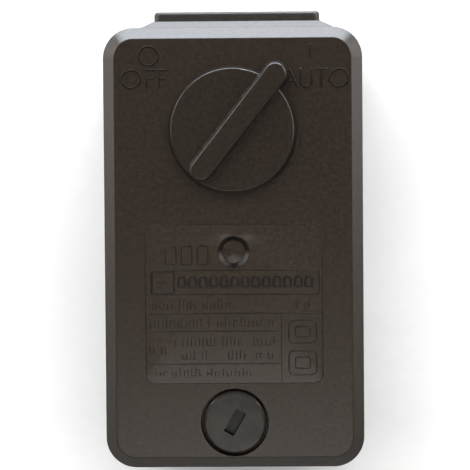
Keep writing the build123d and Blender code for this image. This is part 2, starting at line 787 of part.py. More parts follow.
# ================================================================ lever
fork_bottom = carrier_top + 2.1
fork_top = fork_bottom + 2.0
lever_end = pivot_y - lever_reach
lever_ear = 7.0
lever_flange = lever_reach - lever_ear + 0.5
arm_back = pivot_y - 0.8
arm_front = pivot_y + 1.8
with BuildPart() as main_lever:
    with BuildSketch(Plane.XY.offset(web_bottom)):
        with Locations((0, (lever_end + pivot_y + 3.2) / 2)):
            Rectangle(2 * lever_half_width, lever_reach + 3.2)
    extrude(amount=lever_sheet)
    for side in (-1, 1):
        # the low flange along the web
        with BuildSketch(Plane.XY.offset(web_top)):
            with Locations((side * (lever_half_width - lever_side / 2), lever_end + lever_flange / 2)):
                Rectangle(lever_side, lever_flange)
        extrude(amount=2.6)
        # the side plate: pivot ear, upright and fork tine
        with BuildSketch(Plane.YZ.offset(side * lever_half_width)):
            with BuildLine():
                Polyline(
                    (pivot_y - lever_ear, web_bottom),
                    (pivot_y + 3.2, web_bottom),
                    (pivot_y + 3.2, pivot_z + 3.2),
                    (arm_front, pivot_z + 5),
                    (arm_front, fork_bottom),
                    (pivot_y + fork_reach, fork_bottom),
                    (pivot_y + fork_reach, fork_top),
                    (arm_back, fork_top),
                    (arm_back, pivot_z + 5),
                    (pivot_y - 4, pivot_z + 1.5),
                    close=True,
                )
            make_face()
        extrude(amount=-side * lever_arm_sheet)
    with BuildSketch(Plane.YZ):
        with Locations((pivot_y, pivot_z)):
            Circle(pivot_radius + turn_gap)
    extrude(amount=lever_half_width + 1, both=True, mode=Mode.SUBTRACT)
label_and_write(main_lever.part, "main_lever")

with BuildPart() as lever_pin:
    with BuildSketch(Plane.YZ):
        with Locations((pivot_y, pivot_z)):
            Circle(pivot_radius)
    extrude(amount=cheek_inside + cheek_sheet + 1.6, both=True)
    chamfer(lever_pin.edges().group_by(Axis.X)[0] + lever_pin.edges().group_by(Axis.X)[-1], length=0.3)
    with BuildSketch(Plane.YZ):
        with Locations((pivot_y, pivot_z)):
            Circle(pivot_radius + 1)
            Circle(pivot_radius - 0.4, mode=Mode.SUBTRACT)
    extrude(amount=cheek_inside + cheek_sheet + 0.85, both=True, mode=Mode.SUBTRACT)
    with BuildSketch(Plane.YZ):
        with Locations((pivot_y, pivot_z)):
            Circle(pivot_radius)
    extrude(amount=cheek_inside + cheek_sheet + 0.1, both=True)
label_and_write(lever_pin.part, "lever_pin")

with BuildPart() as lever_pin_clips:
    for side in (-1, 1):
        with BuildSketch(Plane.YZ.offset(side * (cheek_inside + cheek_sheet + 0.15))):
            with Locations((pivot_y, pivot_z)):
                Circle(pin_clip_radius)
                Circle(pivot_radius - 0.35, mode=Mode.SUBTRACT)
            with Locations((pivot_y, pivot_z + pivot_radius + 1)):
                Rectangle(2.4, 2 * pivot_radius + 2, mode=Mode.SUBTRACT)
        extrude(amount=side * 0.6)
label_and_write(lever_pin_clips.part, "lever_pin_clips")

# ================================================================ springs, seats, nuts and adjusting screws
springs = {
    "main": dict(
        y=main_spring_y,
        coil=main_spring_radius,
        wire=main_spring_wire,
        turns=main_spring_turns,
        top=floor_top + main_spring_top,
        screw=main_screw_radius,
        core=main_screw_core,
        flats=main_screw_flats,
        nut_half=7.2,
        head=5.0,
    ),
    "differential": dict(
        y=diff_spring_y,
        coil=diff_spring_radius,
        wire=diff_spring_wire,
        turns=diff_spring_turns,
        top=floor_top + diff_spring_top,
        screw=diff_screw_radius,
        core=diff_screw_core,
        flats=diff_screw_flats,
        nut_half=4.3,
        head=4.0,
    ),
}
seat_thickness = 1.4
for name, s in springs.items():
    outside = s["coil"] + s["wire"]
    inside = s["coil"] - s["wire"]
    with BuildPart() as seat:
        with BuildSketch(Plane.XY.offset(web_top)):
            with Locations((0, s["y"])):
                Circle(min(outside, lever_half_width - lever_side - 0.1))
        extrude(amount=seat_thickness)
        with BuildSketch(Plane.XY.offset(web_top)):
            with Locations((0, s["y"])):
                Circle(inside - 0.4)
        extrude(amount=seat_thickness + 2.0)
    label_and_write(seat.part, f"{name}_spring_seat")

    low = web_top + seat_thickness + s["wire"]
    high = s["top"] - s["wire"]
    with BuildPart() as spring:
        with BuildLine():
            coil = Helix((high - low) / s["turns"], high - low, s["coil"], center=(0, s["y"], low))
        with BuildSketch(Plane(origin=coil @ 0, z_dir=coil % 0)):
            Circle(s["wire"])
        sweep(path=coil, is_frenet=True)
    label_and_write(spring.part, f"{name}_spring")

    with BuildPart() as nut:
        with BuildSketch(Plane.XY.offset(s["top"])):
            with Locations((0, s["y"])):
                Rectangle(2 * (cheek_inside - nut_side_gap), 2 * s["nut_half"])
                Circle(s["screw"] + fit_gap, mode=Mode.SUBTRACT)
        extrude(amount=nut_thickness)
        chamfer(nut.edges().filter_by(Axis.Z), length=0.6)
    label_and_write(nut.part, f"{name}_spring_nut")

    with BuildPart() as adjuster:
        with BuildSketch(Plane.XY.offset(s["top"] - screw_tail)):
            with Locations((0, s["y"])):
                Circle(s["core"])
        extrude(amount=cheek_top + bridge_sheet - s["top"] + screw_tail)
        chamfer(adjuster.faces().sort_by(Axis.Z)[0].edges(), length=0.5)
        with BuildSketch(Plane.XY.offset(cheek_top)):
            with Locations((0, s["y"])):
                Circle(s["flats"] / math.sqrt(3) + 2.2)
        extrude(amount=-collar_thickness)
        with BuildSketch(Plane.XY.offset(cheek_top)):
            with Locations((0, s["y"])):
                Circle(s["flats"] / math.sqrt(3) + 0.05)
        extrude(amount=bridge_sheet + 0.2)
        with BuildSketch(Plane.XY.offset(cheek_top + bridge_sheet + 0.2)):
            with Locations((0, s["y"])):
                RegularPolygon(s["flats"] / 2, 6, major_radius=False)
        extrude(amount=s["head"])
        chamfer(adjuster.faces().sort_by(Axis.Z)[-1].edges(), length=0.4)
        with BuildSketch(Plane.XY.offset(cheek_top + bridge_sheet + 0.2 + s["head"])):
            with Locations((0, s["y"])):
                Rectangle(s["flats"] + 2, 1.0)
        extrude(amount=-1.2, mode=Mode.SUBTRACT)
    label_and_write(adjuster.part, f"{name}_adjusting_screw")

# ================================================================ contact block
with BuildPart() as contact_block:
    with BuildSketch(Plane.XY.offset(block_bottom)):
        with Locations((0, block_y)):
            RectangleRounded(2 * block_half_width, block_length, 0.8)
    extrude(amount=block_height)
    with BuildSketch(Plane.XY.offset(block_inside)):
        with Locations(*[(x, block_y) for x in pole_x]):
            Rectangle(chamber_width, 2 * chamber_half_length)
        with Locations((0, block_y)):
            Rectangle(2 * slot_half_length, carrier_thickness + 2 * carrier_gap)
    extrude(amount=block_height, mode=Mode.SUBTRACT)
    with BuildSketch(Plane.XY.offset(strip_seat)):
        with Locations(*[(x, block_y) for x in pole_x]):
            Rectangle(strip_width + 0.6, block_length + 1)
    extrude(amount=seat_depth + 1, mode=Mode.SUBTRACT)
    with BuildSketch(Plane.XY.offset(strip_seat)):
        with Locations(*[(x, block_y + s * terminal_offset) for x in pole_x for s in (-1, 1)]):
            Circle(terminal_radius + fit_gap)
    extrude(amount=-9, mode=Mode.SUBTRACT)
    with BuildSketch(Plane.XY.offset(block_bottom)):
        with Locations(*[(x, block_y + block_screw_offset) for x in barrier_x]):
            Circle(block_screw_radius + screw_gap)
    extrude(amount=block_height, mode=Mode.SUBTRACT)
    with BuildSketch(Plane.XY.offset(block_top)):
        with Locations(*[(x, block_y + block_screw_offset) for x in barrier_x]):
            Circle(block_screw_head + fit_gap)
    extrude(amount=-2.2, mode=Mode.SUBTRACT)
    with BuildSketch(Plane.XY.offset(block_bottom)):
        with Locations(*[(x, flange_screw_half) for x in (-flange_screw_half, flange_screw_half)]):
            Circle(flange_screw_radius + 0.7)
    extrude(amount=block_floor - 0.8, mode=Mode.SUBTRACT)
label_and_write(contact_block.part, "contact_block")

with BuildPart() as contact_block_screws:
    with BuildSketch(Plane.XY.offset(block_top - 2.2)):
        with Locations(*[(x, block_y + block_screw_offset) for x in barrier_x]):
            Circle(block_screw_head)
    extrude(amount=1.8)
    with BuildSketch(Plane.XY.offset(block_top - 0.4)):
        with Locations(*[(x, block_y + block_screw_offset) for x in barrier_x]):
            Rectangle(6, 0.7, rotation=35)
    extrude(amount=-0.9, mode=Mode.SUBTRACT)
    with BuildSketch(Plane.XY.offset(block_top - 2.2)):
        with Locations(*[(x, block_y + block_screw_offset) for x in barrier_x]):
            Circle(block_screw_radius)
    extrude(amount=-(block_height + 2.6))
label_and_write(contact_block_screws.part, "contact_block_screws")

for pole, x in enumerate(pole_x):
    for end, side in enumerate((-1, 1)):
        middle = (strip_inner + block_length / 2 - 0.3) / 2
        length = block_length / 2 - 0.3 - strip_inner
        with BuildPart() as fixed_contact:
            with BuildSketch(Plane.XY.offset(strip_seat)):
                with Locations((x, block_y + side * middle)):
                    Rectangle(strip_width, length)
                with Locations((x, block_y + side * terminal_offset)):
                    Circle(terminal_radius + screw_gap, mode=Mode.SUBTRACT)
            extrude(amount=strip_thickness)
            chamfer(fixed_contact.edges().filter_by(Axis.Z).filter_by(GeomType.LINE), length=0.5)
        label_and_write(fixed_contact.part, f"fixed_contact_{2 * pole + end + 1}")

    with BuildPart() as bridge_contact:
        with BuildSketch(Plane.XY.offset(bridge_bottom)):
            with Locations((x, block_y)):
                RectangleRounded(bridge_width, 2 * bridge_half_length, 1.0)
        extrude(amount=bridge_thickness)
    label_and_write(bridge_contact.part, f"bridge_contact_{pole + 1}")

    low = carrier_floor + 0.4
    high = bridge_bottom - 0.4
    with BuildPart() as contact_spring:
        with BuildLine():
            coil = Helix((high - low) / 4.5, high - low, 1.9, center=(x, block_y, low))
        with BuildSketch(Plane(origin=coil @ 0, z_dir=coil % 0)):
            Circle(0.32)
        sweep(path=coil, is_frenet=True)
    label_and_write(contact_spring.part, f"contact_spring_{pole + 1}")

tip_places = [(x, block_y + side * tip_offset) for x in pole_x for side in (-1, 1)]
with BuildPart() as fixed_contact_tips:
    with BuildSketch(Plane.XY.offset(strip_seat)):
        with Locations(*tip_places):
            Circle(tip_radius)
    extrude(amount=-tip_thickness)
    fillet(fixed_contact_tips.faces().group_by(Axis.Z)[0].edges(), radius=0.25)
label_and_write(fixed_contact_tips.part, "fixed_contact_tips")

with BuildPart() as bridge_contact_tips:
    with BuildSketch(Plane.XY.offset(bridge_top)):
        with Locations(*tip_places):
            Circle(tip_radius)
    extrude(amount=tip_thickness - contact_gap)
    fillet(bridge_contact_tips.faces().group_by(Axis.Z)[-1].edges(), radius=0.25)
label_and_write(bridge_contact_tips.part, "bridge_contact_tips")

terminal_places = [(x, block_y + side * terminal_offset) for x in pole_x for side in (-1, 1)]
with BuildPart() as terminal_clamps:
    with BuildSketch(Plane.XY.offset(strip_top)):
        with Locations(*[(x, block_y + side * (terminal_offset - 0.3)) for x in pole_x for side in (-1, 1)]):
            Rectangle(clamp_side, clamp_side - 1.2)
        with Locations(*terminal_places):
            Circle(terminal_radius + screw_gap, mode=Mode.SUBTRACT)
    extrude(amount=clamp_thickness)
label_and_write(terminal_clamps.part, "terminal_clamps")

clamp_top = strip_top + clamp_thickness
with BuildPart() as terminal_screws:
    with BuildSketch(Plane.XY.offset(clamp_top)):
        with Locations(*terminal_places):
            Circle(terminal_head)
    extrude(amount=2.0)
    fillet(terminal_screws.faces().group_by(Axis.Z)[-1].edges(), radius=0.6)
    with BuildSketch(Plane.XY.offset(clamp_top + 2.0)):
        for angle in (15, 105):
            with Locations(*terminal_places):
                Rectangle(3.8, 0.7, rotation=angle)
    extrude(amount=-1.1, mode=Mode.SUBTRACT)
    with BuildSketch(Plane.XY.offset(clamp_top)):
        with Locations(*terminal_places):
            Circle(terminal_radius)
    extrude(amount=-(clamp_top - strip_seat + 8))
label_and_write(terminal_screws.part, "terminal_screws")

# ================================================================ contact carrier and snap blade
with BuildPart() as contact_carrier:
    with BuildSketch(Plane.XZ.offset(-block_y)):
        with Locations((0, (carrier_bottom + carrier_top) / 2)):
            Rectangle(2 * carrier_half_length, carrier_top - carrier_bottom)
        window_width = pole_pitch - 3.6
        with Locations(*[(x, (carrier_floor + carrier_roof) / 2) for x in pole_x[1:-1]]):
            Rectangle(window_width, carrier_roof - carrier_floor, mode=Mode.SUBTRACT)
        outer_start = pole_x[-1] - window_width / 2
        outer_end = carrier_half_length - 2.0
        for side in (-1, 1):
            with Locations((side * (outer_start + outer_end) / 2, (carrier_floor + carrier_roof) / 2)):
                Rectangle(outer_end - outer_start, carrier_roof - carrier_floor, mode=Mode.SUBTRACT)
    extrude(amount=carrier_thickness / 2, both=True)
    # the post and its finger, which the knob's cam pushes down
    with BuildSketch(Plane.YZ):
        with BuildLine():
            Polyline(
                (block_y - 2.4, carrier_top - 1),
                (block_y - 2.4, cam_z - 2.6),
                (block_y + 0.5, cam_z - 2.6),
                (block_y + follower_offset, cam_z - 3.5),
                (block_y + follower_offset, cam_z - 9),
                (block_y + 2.4, cam_z - 11),
                (block_y + 2.4, carrier_top - 1),
                close=True,
            )
        make_face()
    extrude(amount=1.2, both=True)
    with BuildSketch(Plane.XY.offset(carrier_top - 1)):
        with Locations((0, block_y)):
            Rectangle(4.8, 4.8)
    extrude(amount=1 + 6)
    with BuildSketch(Plane.XY.offset(cam_z - 9)):
        with Locations((0, block_y + follower_offset)):
            Circle(follower_radius)
    extrude(amount=follower_height - cam_z + 9)
    with Locations((0, block_y + follower_offset, follower_height)):
        Sphere(follower_radius)
label_and_write(contact_carrier.part, "contact_carrier")

blade_half = pole_x[-1] + chamber_width / 2 + 0.3
with BuildPart() as snap_blade:
    with BuildSketch(Plane.XZ.offset(-block_y)):
        with BuildLine():
            ThreePointArc(
                (-blade_half, block_inside + 0.1),
                (0, carrier_bottom - blade_sheet),
                (blade_half, block_inside + 0.1),
            )
            Line((blade_half, block_inside + 0.1), (blade_half, block_inside + 0.1 + blade_sheet))
            ThreePointArc(
                (blade_half, block_inside + 0.1 + blade_sheet),
                (0, carrier_bottom),
                (-blade_half, block_inside + 0.1 + blade_sheet),
            )
            Line((-blade_half, block_inside + 0.1 + blade_sheet), (-blade_half, block_inside + 0.1))
        make_face()
    extrude(amount=2.0, both=True)
label_and_write(snap_blade.part, "snap_blade")

# ================================================================ earth terminal
earth_x = foot_side / 2 - 5
with BuildPart() as earth_clamp:
    with BuildSketch(Plane.XY.offset(foot_top)):
        with Locations((earth_x, 0)):
            Rectangle(7.5, 7.5)
            Circle(1.95 + screw_gap, mode=Mode.SUBTRACT)
    extrude(amount=1.0)
label_and_write(earth_clamp.part, "earth_clamp")

with BuildPart() as earth_screw:
    with BuildSketch(Plane.XY.offset(foot_top + 1.0)):
        with Locations((earth_x, 0)):
            Circle(3.5)
    extrude(amount=2.2)
    fillet(earth_screw.faces().sort_by(Axis.Z)[-1].edges(), radius=0.6)
    with BuildSketch(Plane.XY.offset(foot_top + 3.2)):
        for angle in (30, 120):
            with Locations((earth_x, 0)):
                Rectangle(4.6, 0.9, rotation=angle)
    extrude(amount=-1.3, mode=Mode.SUBTRACT)
    with BuildSketch(Plane.XY.offset(foot_top + 1.0)):
        with Locations((earth_x, 0)):
            Circle(1.95)
    extrude(amount=-(foot_thickness + 1.0 + 2.0))
label_and_write(earth_screw.part, "earth_screw")
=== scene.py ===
"""Looks of a pressure-operated motor protection breaker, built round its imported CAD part.

Lengths here are in millimetres and become Blender's metres where MM multiplies them. The materials
turn a size into a texture scale with per_metre.
"""

import json
import logging
import math
from dataclasses import dataclass, replace
from enum import Enum

import bpy
import numpy as np
from mathutils import Matrix, Vector


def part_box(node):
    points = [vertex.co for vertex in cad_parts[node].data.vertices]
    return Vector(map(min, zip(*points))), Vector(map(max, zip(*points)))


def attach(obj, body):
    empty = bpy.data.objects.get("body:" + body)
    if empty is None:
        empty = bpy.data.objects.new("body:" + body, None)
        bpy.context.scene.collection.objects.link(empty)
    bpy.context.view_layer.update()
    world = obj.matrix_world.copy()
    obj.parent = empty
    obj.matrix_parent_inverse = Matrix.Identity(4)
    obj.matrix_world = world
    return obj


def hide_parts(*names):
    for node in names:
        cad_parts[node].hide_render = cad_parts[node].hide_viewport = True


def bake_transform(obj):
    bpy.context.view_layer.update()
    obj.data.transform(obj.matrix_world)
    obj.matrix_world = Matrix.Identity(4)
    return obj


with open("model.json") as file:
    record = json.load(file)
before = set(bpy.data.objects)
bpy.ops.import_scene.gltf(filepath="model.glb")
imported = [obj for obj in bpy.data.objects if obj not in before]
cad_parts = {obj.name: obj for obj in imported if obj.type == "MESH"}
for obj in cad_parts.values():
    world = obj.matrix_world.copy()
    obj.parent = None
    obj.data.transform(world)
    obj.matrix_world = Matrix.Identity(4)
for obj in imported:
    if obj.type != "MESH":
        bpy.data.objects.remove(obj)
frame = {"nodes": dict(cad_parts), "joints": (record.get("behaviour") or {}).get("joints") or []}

log = logging.getLogger("breaker")
MM = 0.001
Colour = tuple[float, float, float]
Point = tuple[float, float]
Point3 = tuple[float, float, float]


def tone(red: int, green: int, blue: int) -> Colour:
    """Turns a screen colour, 0 to 255, into the linear colour that shaders want."""
    share = np.array((red, green, blue)) / 255
    linear = np.where(share > 0.04045, ((share + 0.055) / 1.055) ** 2.4, share / 12.92)
    return tuple(float(c) for c in linear)


def per_metre(size: float) -> float:
    """Texture scale at which one feature of a pattern is this many millimetres wide."""
    return 1 / (size * MM)


# ---------------------------------------------------------------- finishes


class Pattern(Enum):
    """How a finish's colour wanders over the surface."""

    CLOUDS = "soft patches"
    SPANGLE = "flat crystals, each its own shade"
    DRAWN = "long streaks left by a die or a brush"
    PITTED = "small dark pits"


class NodeGraph:
    """A material's node tree while it is being put together."""

    def __init__(self, name: str) -> None:
        """Starts a material that holds one Principled shader.

        Args:
            name: the material's name.
        """
        self.material = bpy.data.materials.new(name)
        self.material.use_nodes = True
        self.tree = self.material.node_tree
        self.shader = self.tree.nodes["Principled BSDF"]
        self.place = self.tree.nodes.new("ShaderNodeTexCoord").outputs["Object"]

    def link(self, source: bpy.types.NodeSocket, target: bpy.types.NodeSocket) -> None:
        """Joins two sockets."""
        self.tree.links.new(source, target)

    def stretched(self, stretch: Point3) -> bpy.types.NodeSocket:
        """Object coordinates squeezed by a factor on each axis, which draws a pattern out."""
        mapping = self.tree.nodes.new("ShaderNodeMapping")
        mapping.inputs["Scale"].default_value = stretch
        self.link(self.place, mapping.inputs["Vector"])
        return mapping.outputs["Vector"]

    def noise(self, size: float, detail: float = 3.0, stretch: Point3 | None = None) -> bpy.types.NodeSocket:
        """Adds cloudy noise.

        Args:
            size: width of one cloud, mm.
            detail: octaves of finer noise on top.
            stretch: factors on the axes, where the pattern is drawn out.

        Returns:
            The noise's value, 0 to 1.
        """
        node = self.tree.nodes.new("ShaderNodeTexNoise")
        node.inputs["Scale"].default_value = per_metre(size)
        node.inputs["Detail"].default_value = detail
        self.link(self.stretched(stretch) if stretch else self.place, node.inputs["Vector"])
        return node.outputs["Fac"]

    def cells(self, size: float) -> bpy.types.Node:
        """Adds Voronoi cells this many millimetres wide; its outputs are Distance and Color."""
        node = self.tree.nodes.new("ShaderNodeTexVoronoi")
        node.inputs["Scale"].default_value = per_metre(size)
        self.link(self.place, node.inputs["Vector"])
        return node

    def fit(
        self, value: bpy.types.NodeSocket, span: Point, result: Point = (0.0, 1.0)
    ) -> bpy.types.NodeSocket:
        """Maps a value from one span to another, held at the ends.

        Args:
            value: the value to map.
            span: the values that become the ends of result.
            result: what they become.

        Returns:
            The mapped value.
        """
        node = self.tree.nodes.new("ShaderNodeMapRange")
        self.link(value, node.inputs["Value"])
        for socket, number in zip(("From Min", "From Max", "To Min", "To Max"), (*span, *result)):
            node.inputs[socket].default_value = number
        return node.outputs["Result"]

    def product(
        self, first: bpy.types.NodeSocket, second: bpy.types.NodeSocket | float
    ) -> bpy.types.NodeSocket:
        """Multiplies a value by another value or by a number."""
        node = self.tree.nodes.new("ShaderNodeMath")
        node.operation = "MULTIPLY"
        self.link(first, node.inputs[0])
        if isinstance(second, float):
            node.inputs[1].default_value = second
        else:
            self.link(second, node.inputs[1])
        return node.outputs["Value"]

    def mix(
        self,
        share: bpy.types.NodeSocket,
        first: bpy.types.NodeSocket | Colour,
        second: bpy.types.NodeSocket | Colour,
    ) -> bpy.types.NodeSocket:
        """Mixes two colours.

        Args:
            share: how much of the second shows, 0 to 1.
            first: the colour where share is 0.
            second: the colour where share is 1.

        Returns:
            The mixed colour.
        """
        node = self.tree.nodes.new("ShaderNodeMix")
        node.data_type = "RGBA"
        node.clamp_factor = True
        self.link(share, node.inputs[0])
        for socket, colour in ((node.inputs[6], first), (node.inputs[7], second)):
            if isinstance(colour, tuple):
                socket.default_value = (*colour, 1.0)
            else:
                self.link(colour, socket)
        return node.outputs[2]

    def rounded(self, radius: float) -> bpy.types.NodeSocket:
        """Surface direction with every edge rounded to this radius, mm."""
        node = self.tree.nodes.new("ShaderNodeBevel")
        node.samples = 4
        node.inputs["Radius"].default_value = radius * MM
        return node.outputs["Normal"]

    def edges(self, radius: float) -> bpy.types.NodeSocket:
        """How near a point is to an edge: 0 on flats, 1 where the rounded direction leans away."""
        geometry = self.tree.nodes.new("ShaderNodeNewGeometry")
        lean = self.tree.nodes.new("ShaderNodeVectorMath")
        lean.operation = "DOT_PRODUCT"
        self.link(self.rounded(radius), lean.inputs[0])
        self.link(geometry.outputs["Normal"], lean.inputs[1])
        return self.fit(lean.outputs["Value"], (0.99, 0.8))

    def climb(self, low: float, high: float) -> bpy.types.NodeSocket:
        """How high a point stands between two levels, mm: 0 up to the low one, 1 from the high one."""
        height = self.tree.nodes.new("ShaderNodeSeparateXYZ")
        self.link(self.place, height.inputs["Vector"])
        return self.fit(height.outputs["Z"], (low * MM, high * MM))

    def bump(
        self, height: bpy.types.NodeSocket, depth: float, normal: bpy.types.NodeSocket
    ) -> bpy.types.NodeSocket:
        """Raises a surface by a height.

        Args:
            height: the height, 0 to 1.
            depth: what a height of 1 is, mm.
            normal: the direction to start from.

        Returns:
            The direction of the raised surface.
        """
        node = self.tree.nodes.new("ShaderNodeBump")
        node.inputs["Distance"].default_value = depth * MM
        self.link(height, node.inputs["Height"])
        self.link(normal, node.inputs["Normal"])
        return node.outputs["Normal"]


# Painted shade: the near-black colour laid into recesses below a level, standing in for the shade in the
# screw head's slot and in the gap round it.
RECESS_SHADE = tone(9, 8, 7)
WEAR_AND_HIGHLIGHT_PATCH = 2.5
DUST_PITCH = 1.9


@dataclass(frozen=True)
class Finish:
    """A surface finish: its two shades, how they wander, its grain and its gloss.

    Patch, grain, depth and edge are in millimetres. The wear share is how much of the edge colour
    shows on edges: real wear on most finishes, a painted highlight on the knob and the screw head.
    Dust is the share of cells that hold a speck, and the recess levels are the pair of heights
    between which a painted shade in a recess fades out upwards.
    """

    name: str
    dark: Colour
    light: Colour
    pattern: Pattern = Pattern.CLOUDS
    patch: float = 7.0
    grain: float = 0.35
    depth: float = 0.02
    gloss: Point = (0.42, 0.55)
    metal: float = 0.0
    specular: float = 0.5
    edge: float = 0.2
    wear_and_highlight: float = 0.0
    wear_and_highlight_colour: Colour = tone(150, 146, 138)
    dust: float = 0.0
    dust_colour: Colour = tone(150, 142, 130)
    recess_shade: Point | None = None

    def shade(self, graph: NodeGraph) -> bpy.types.NodeSocket:
        """Colour that wanders between the two shades in this finish's pattern."""
        if self.pattern is Pattern.SPANGLE:
            where = graph.cells(self.patch).outputs["Color"]
        elif self.pattern is Pattern.DRAWN:
            where = graph.fit(graph.noise(self.patch, 4.0, (1.0, 9.0, 9.0)), (0.35, 0.65))
        elif self.pattern is Pattern.PITTED:
            where = graph.fit(graph.cells(self.patch).outputs["Distance"], (0.1, 0.6))
        else:
            where = graph.fit(graph.noise(self.patch, 5.0), (0.36, 0.64))
        broad = graph.mix(where, self.dark, self.light)
        fine = graph.fit(graph.noise(self.grain * 2, 2.0), (0.4, 0.75), (0.0, 0.45))
        return graph.mix(fine, broad, self.dark)

    def material(self) -> bpy.types.Material:
        """Makes the finish's material.

        Returns:
            A Principled material whose colour, roughness and relief vary over the surface.
        """
        graph = NodeGraph(self.name)
        shader = graph.shader
        colour = self.shade(graph)
        # Lighter edges: real wear on most finishes; on the knob and the screw head the same mix is a painted
        # highlight along the rims.
        if self.wear_and_highlight:
            uneven = graph.fit(graph.noise(WEAR_AND_HIGHLIGHT_PATCH), (0.4, 0.6))
            rubbed_or_highlit = graph.product(graph.edges(self.edge * 1.5), uneven)
            colour = graph.mix(graph.product(rubbed_or_highlit, self.wear_and_highlight), colour, self.wear_and_highlight_colour)
        if self.dust:
            cell = graph.cells(DUST_PITCH)
            near = graph.fit(cell.outputs["Distance"], (0.1, 0.06))
            picked = graph.fit(cell.outputs["Color"], (1 - self.dust, 1 - self.dust + 0.01))
            colour = graph.mix(graph.product(near, picked), colour, self.dust_colour)
        # Painted shade: below the recess levels the colour turns near black, standing in for shade in a slot
        # and in the gap round a head.
        if self.recess_shade:
            colour = graph.mix(graph.climb(*self.recess_shade), RECESS_SHADE, colour)
        graph.link(colour, shader.inputs["Base Color"])
        rough = graph.fit(graph.noise(self.patch * 0.4), (0.35, 0.65), self.gloss)
        graph.link(rough, shader.inputs["Roughness"])
        relief = graph.bump(graph.noise(self.grain, 3.0), self.depth, graph.rounded(self.edge))
        graph.link(relief, shader.inputs["Normal"])
        shader.inputs["Metallic"].default_value = self.metal
        shader.inputs["Specular IOR Level"].default_value = self.specular
        return graph.material


MOULDED = Finish(
    "cover_plastic",
    dark=tone(26, 19, 12),
    light=tone(39, 30, 21),
    patch=0.9,
    grain=0.3,
    depth=0.014,
    gloss=(0.3, 0.37),
    wear_and_highlight=0.25,
    wear_and_highlight_colour=tone(84, 76, 66),
    dust=0.012,
)
# Painted light: the panel's tone is a little lighter than the cover's, standing in for the brighter light on
# the face's lower part.
PANEL = replace(MOULDED, name="panel_plastic", dark=tone(29, 22, 14), light=tone(43, 34, 25), edge=0.03)
# Painted shade: the raised marks, rules and ticks take this dark tone to stand in for the shade inside
# engraved grooves.
GROOVE_SHADE = replace(
    MOULDED,
    name="groove_shade_plastic",
    dark=tone(17, 12, 9),
    light=tone(28, 22, 16),
    specular=0.35,
    wear_and_highlight=0.0,
    dust=0.0,
)
ZINC = Finish(
    "plated_steel",
    dark=tone(150, 154, 160),
    light=tone(196, 199, 202),
    pattern=Pattern.SPANGLE,
    patch=1.6,
    grain=0.3,
    depth=0.004,
    gloss=(0.24, 0.42),
    metal=1.0,
    edge=0.12,
)

PAPER = Finish(
    "floor_paper",
    dark=tone(238, 238, 237),
    light=tone(245, 245, 244),
    patch=60.0,
    grain=1.5,
    depth=0.01,
    gloss=(0.8, 0.9),
    specular=0.2,
)

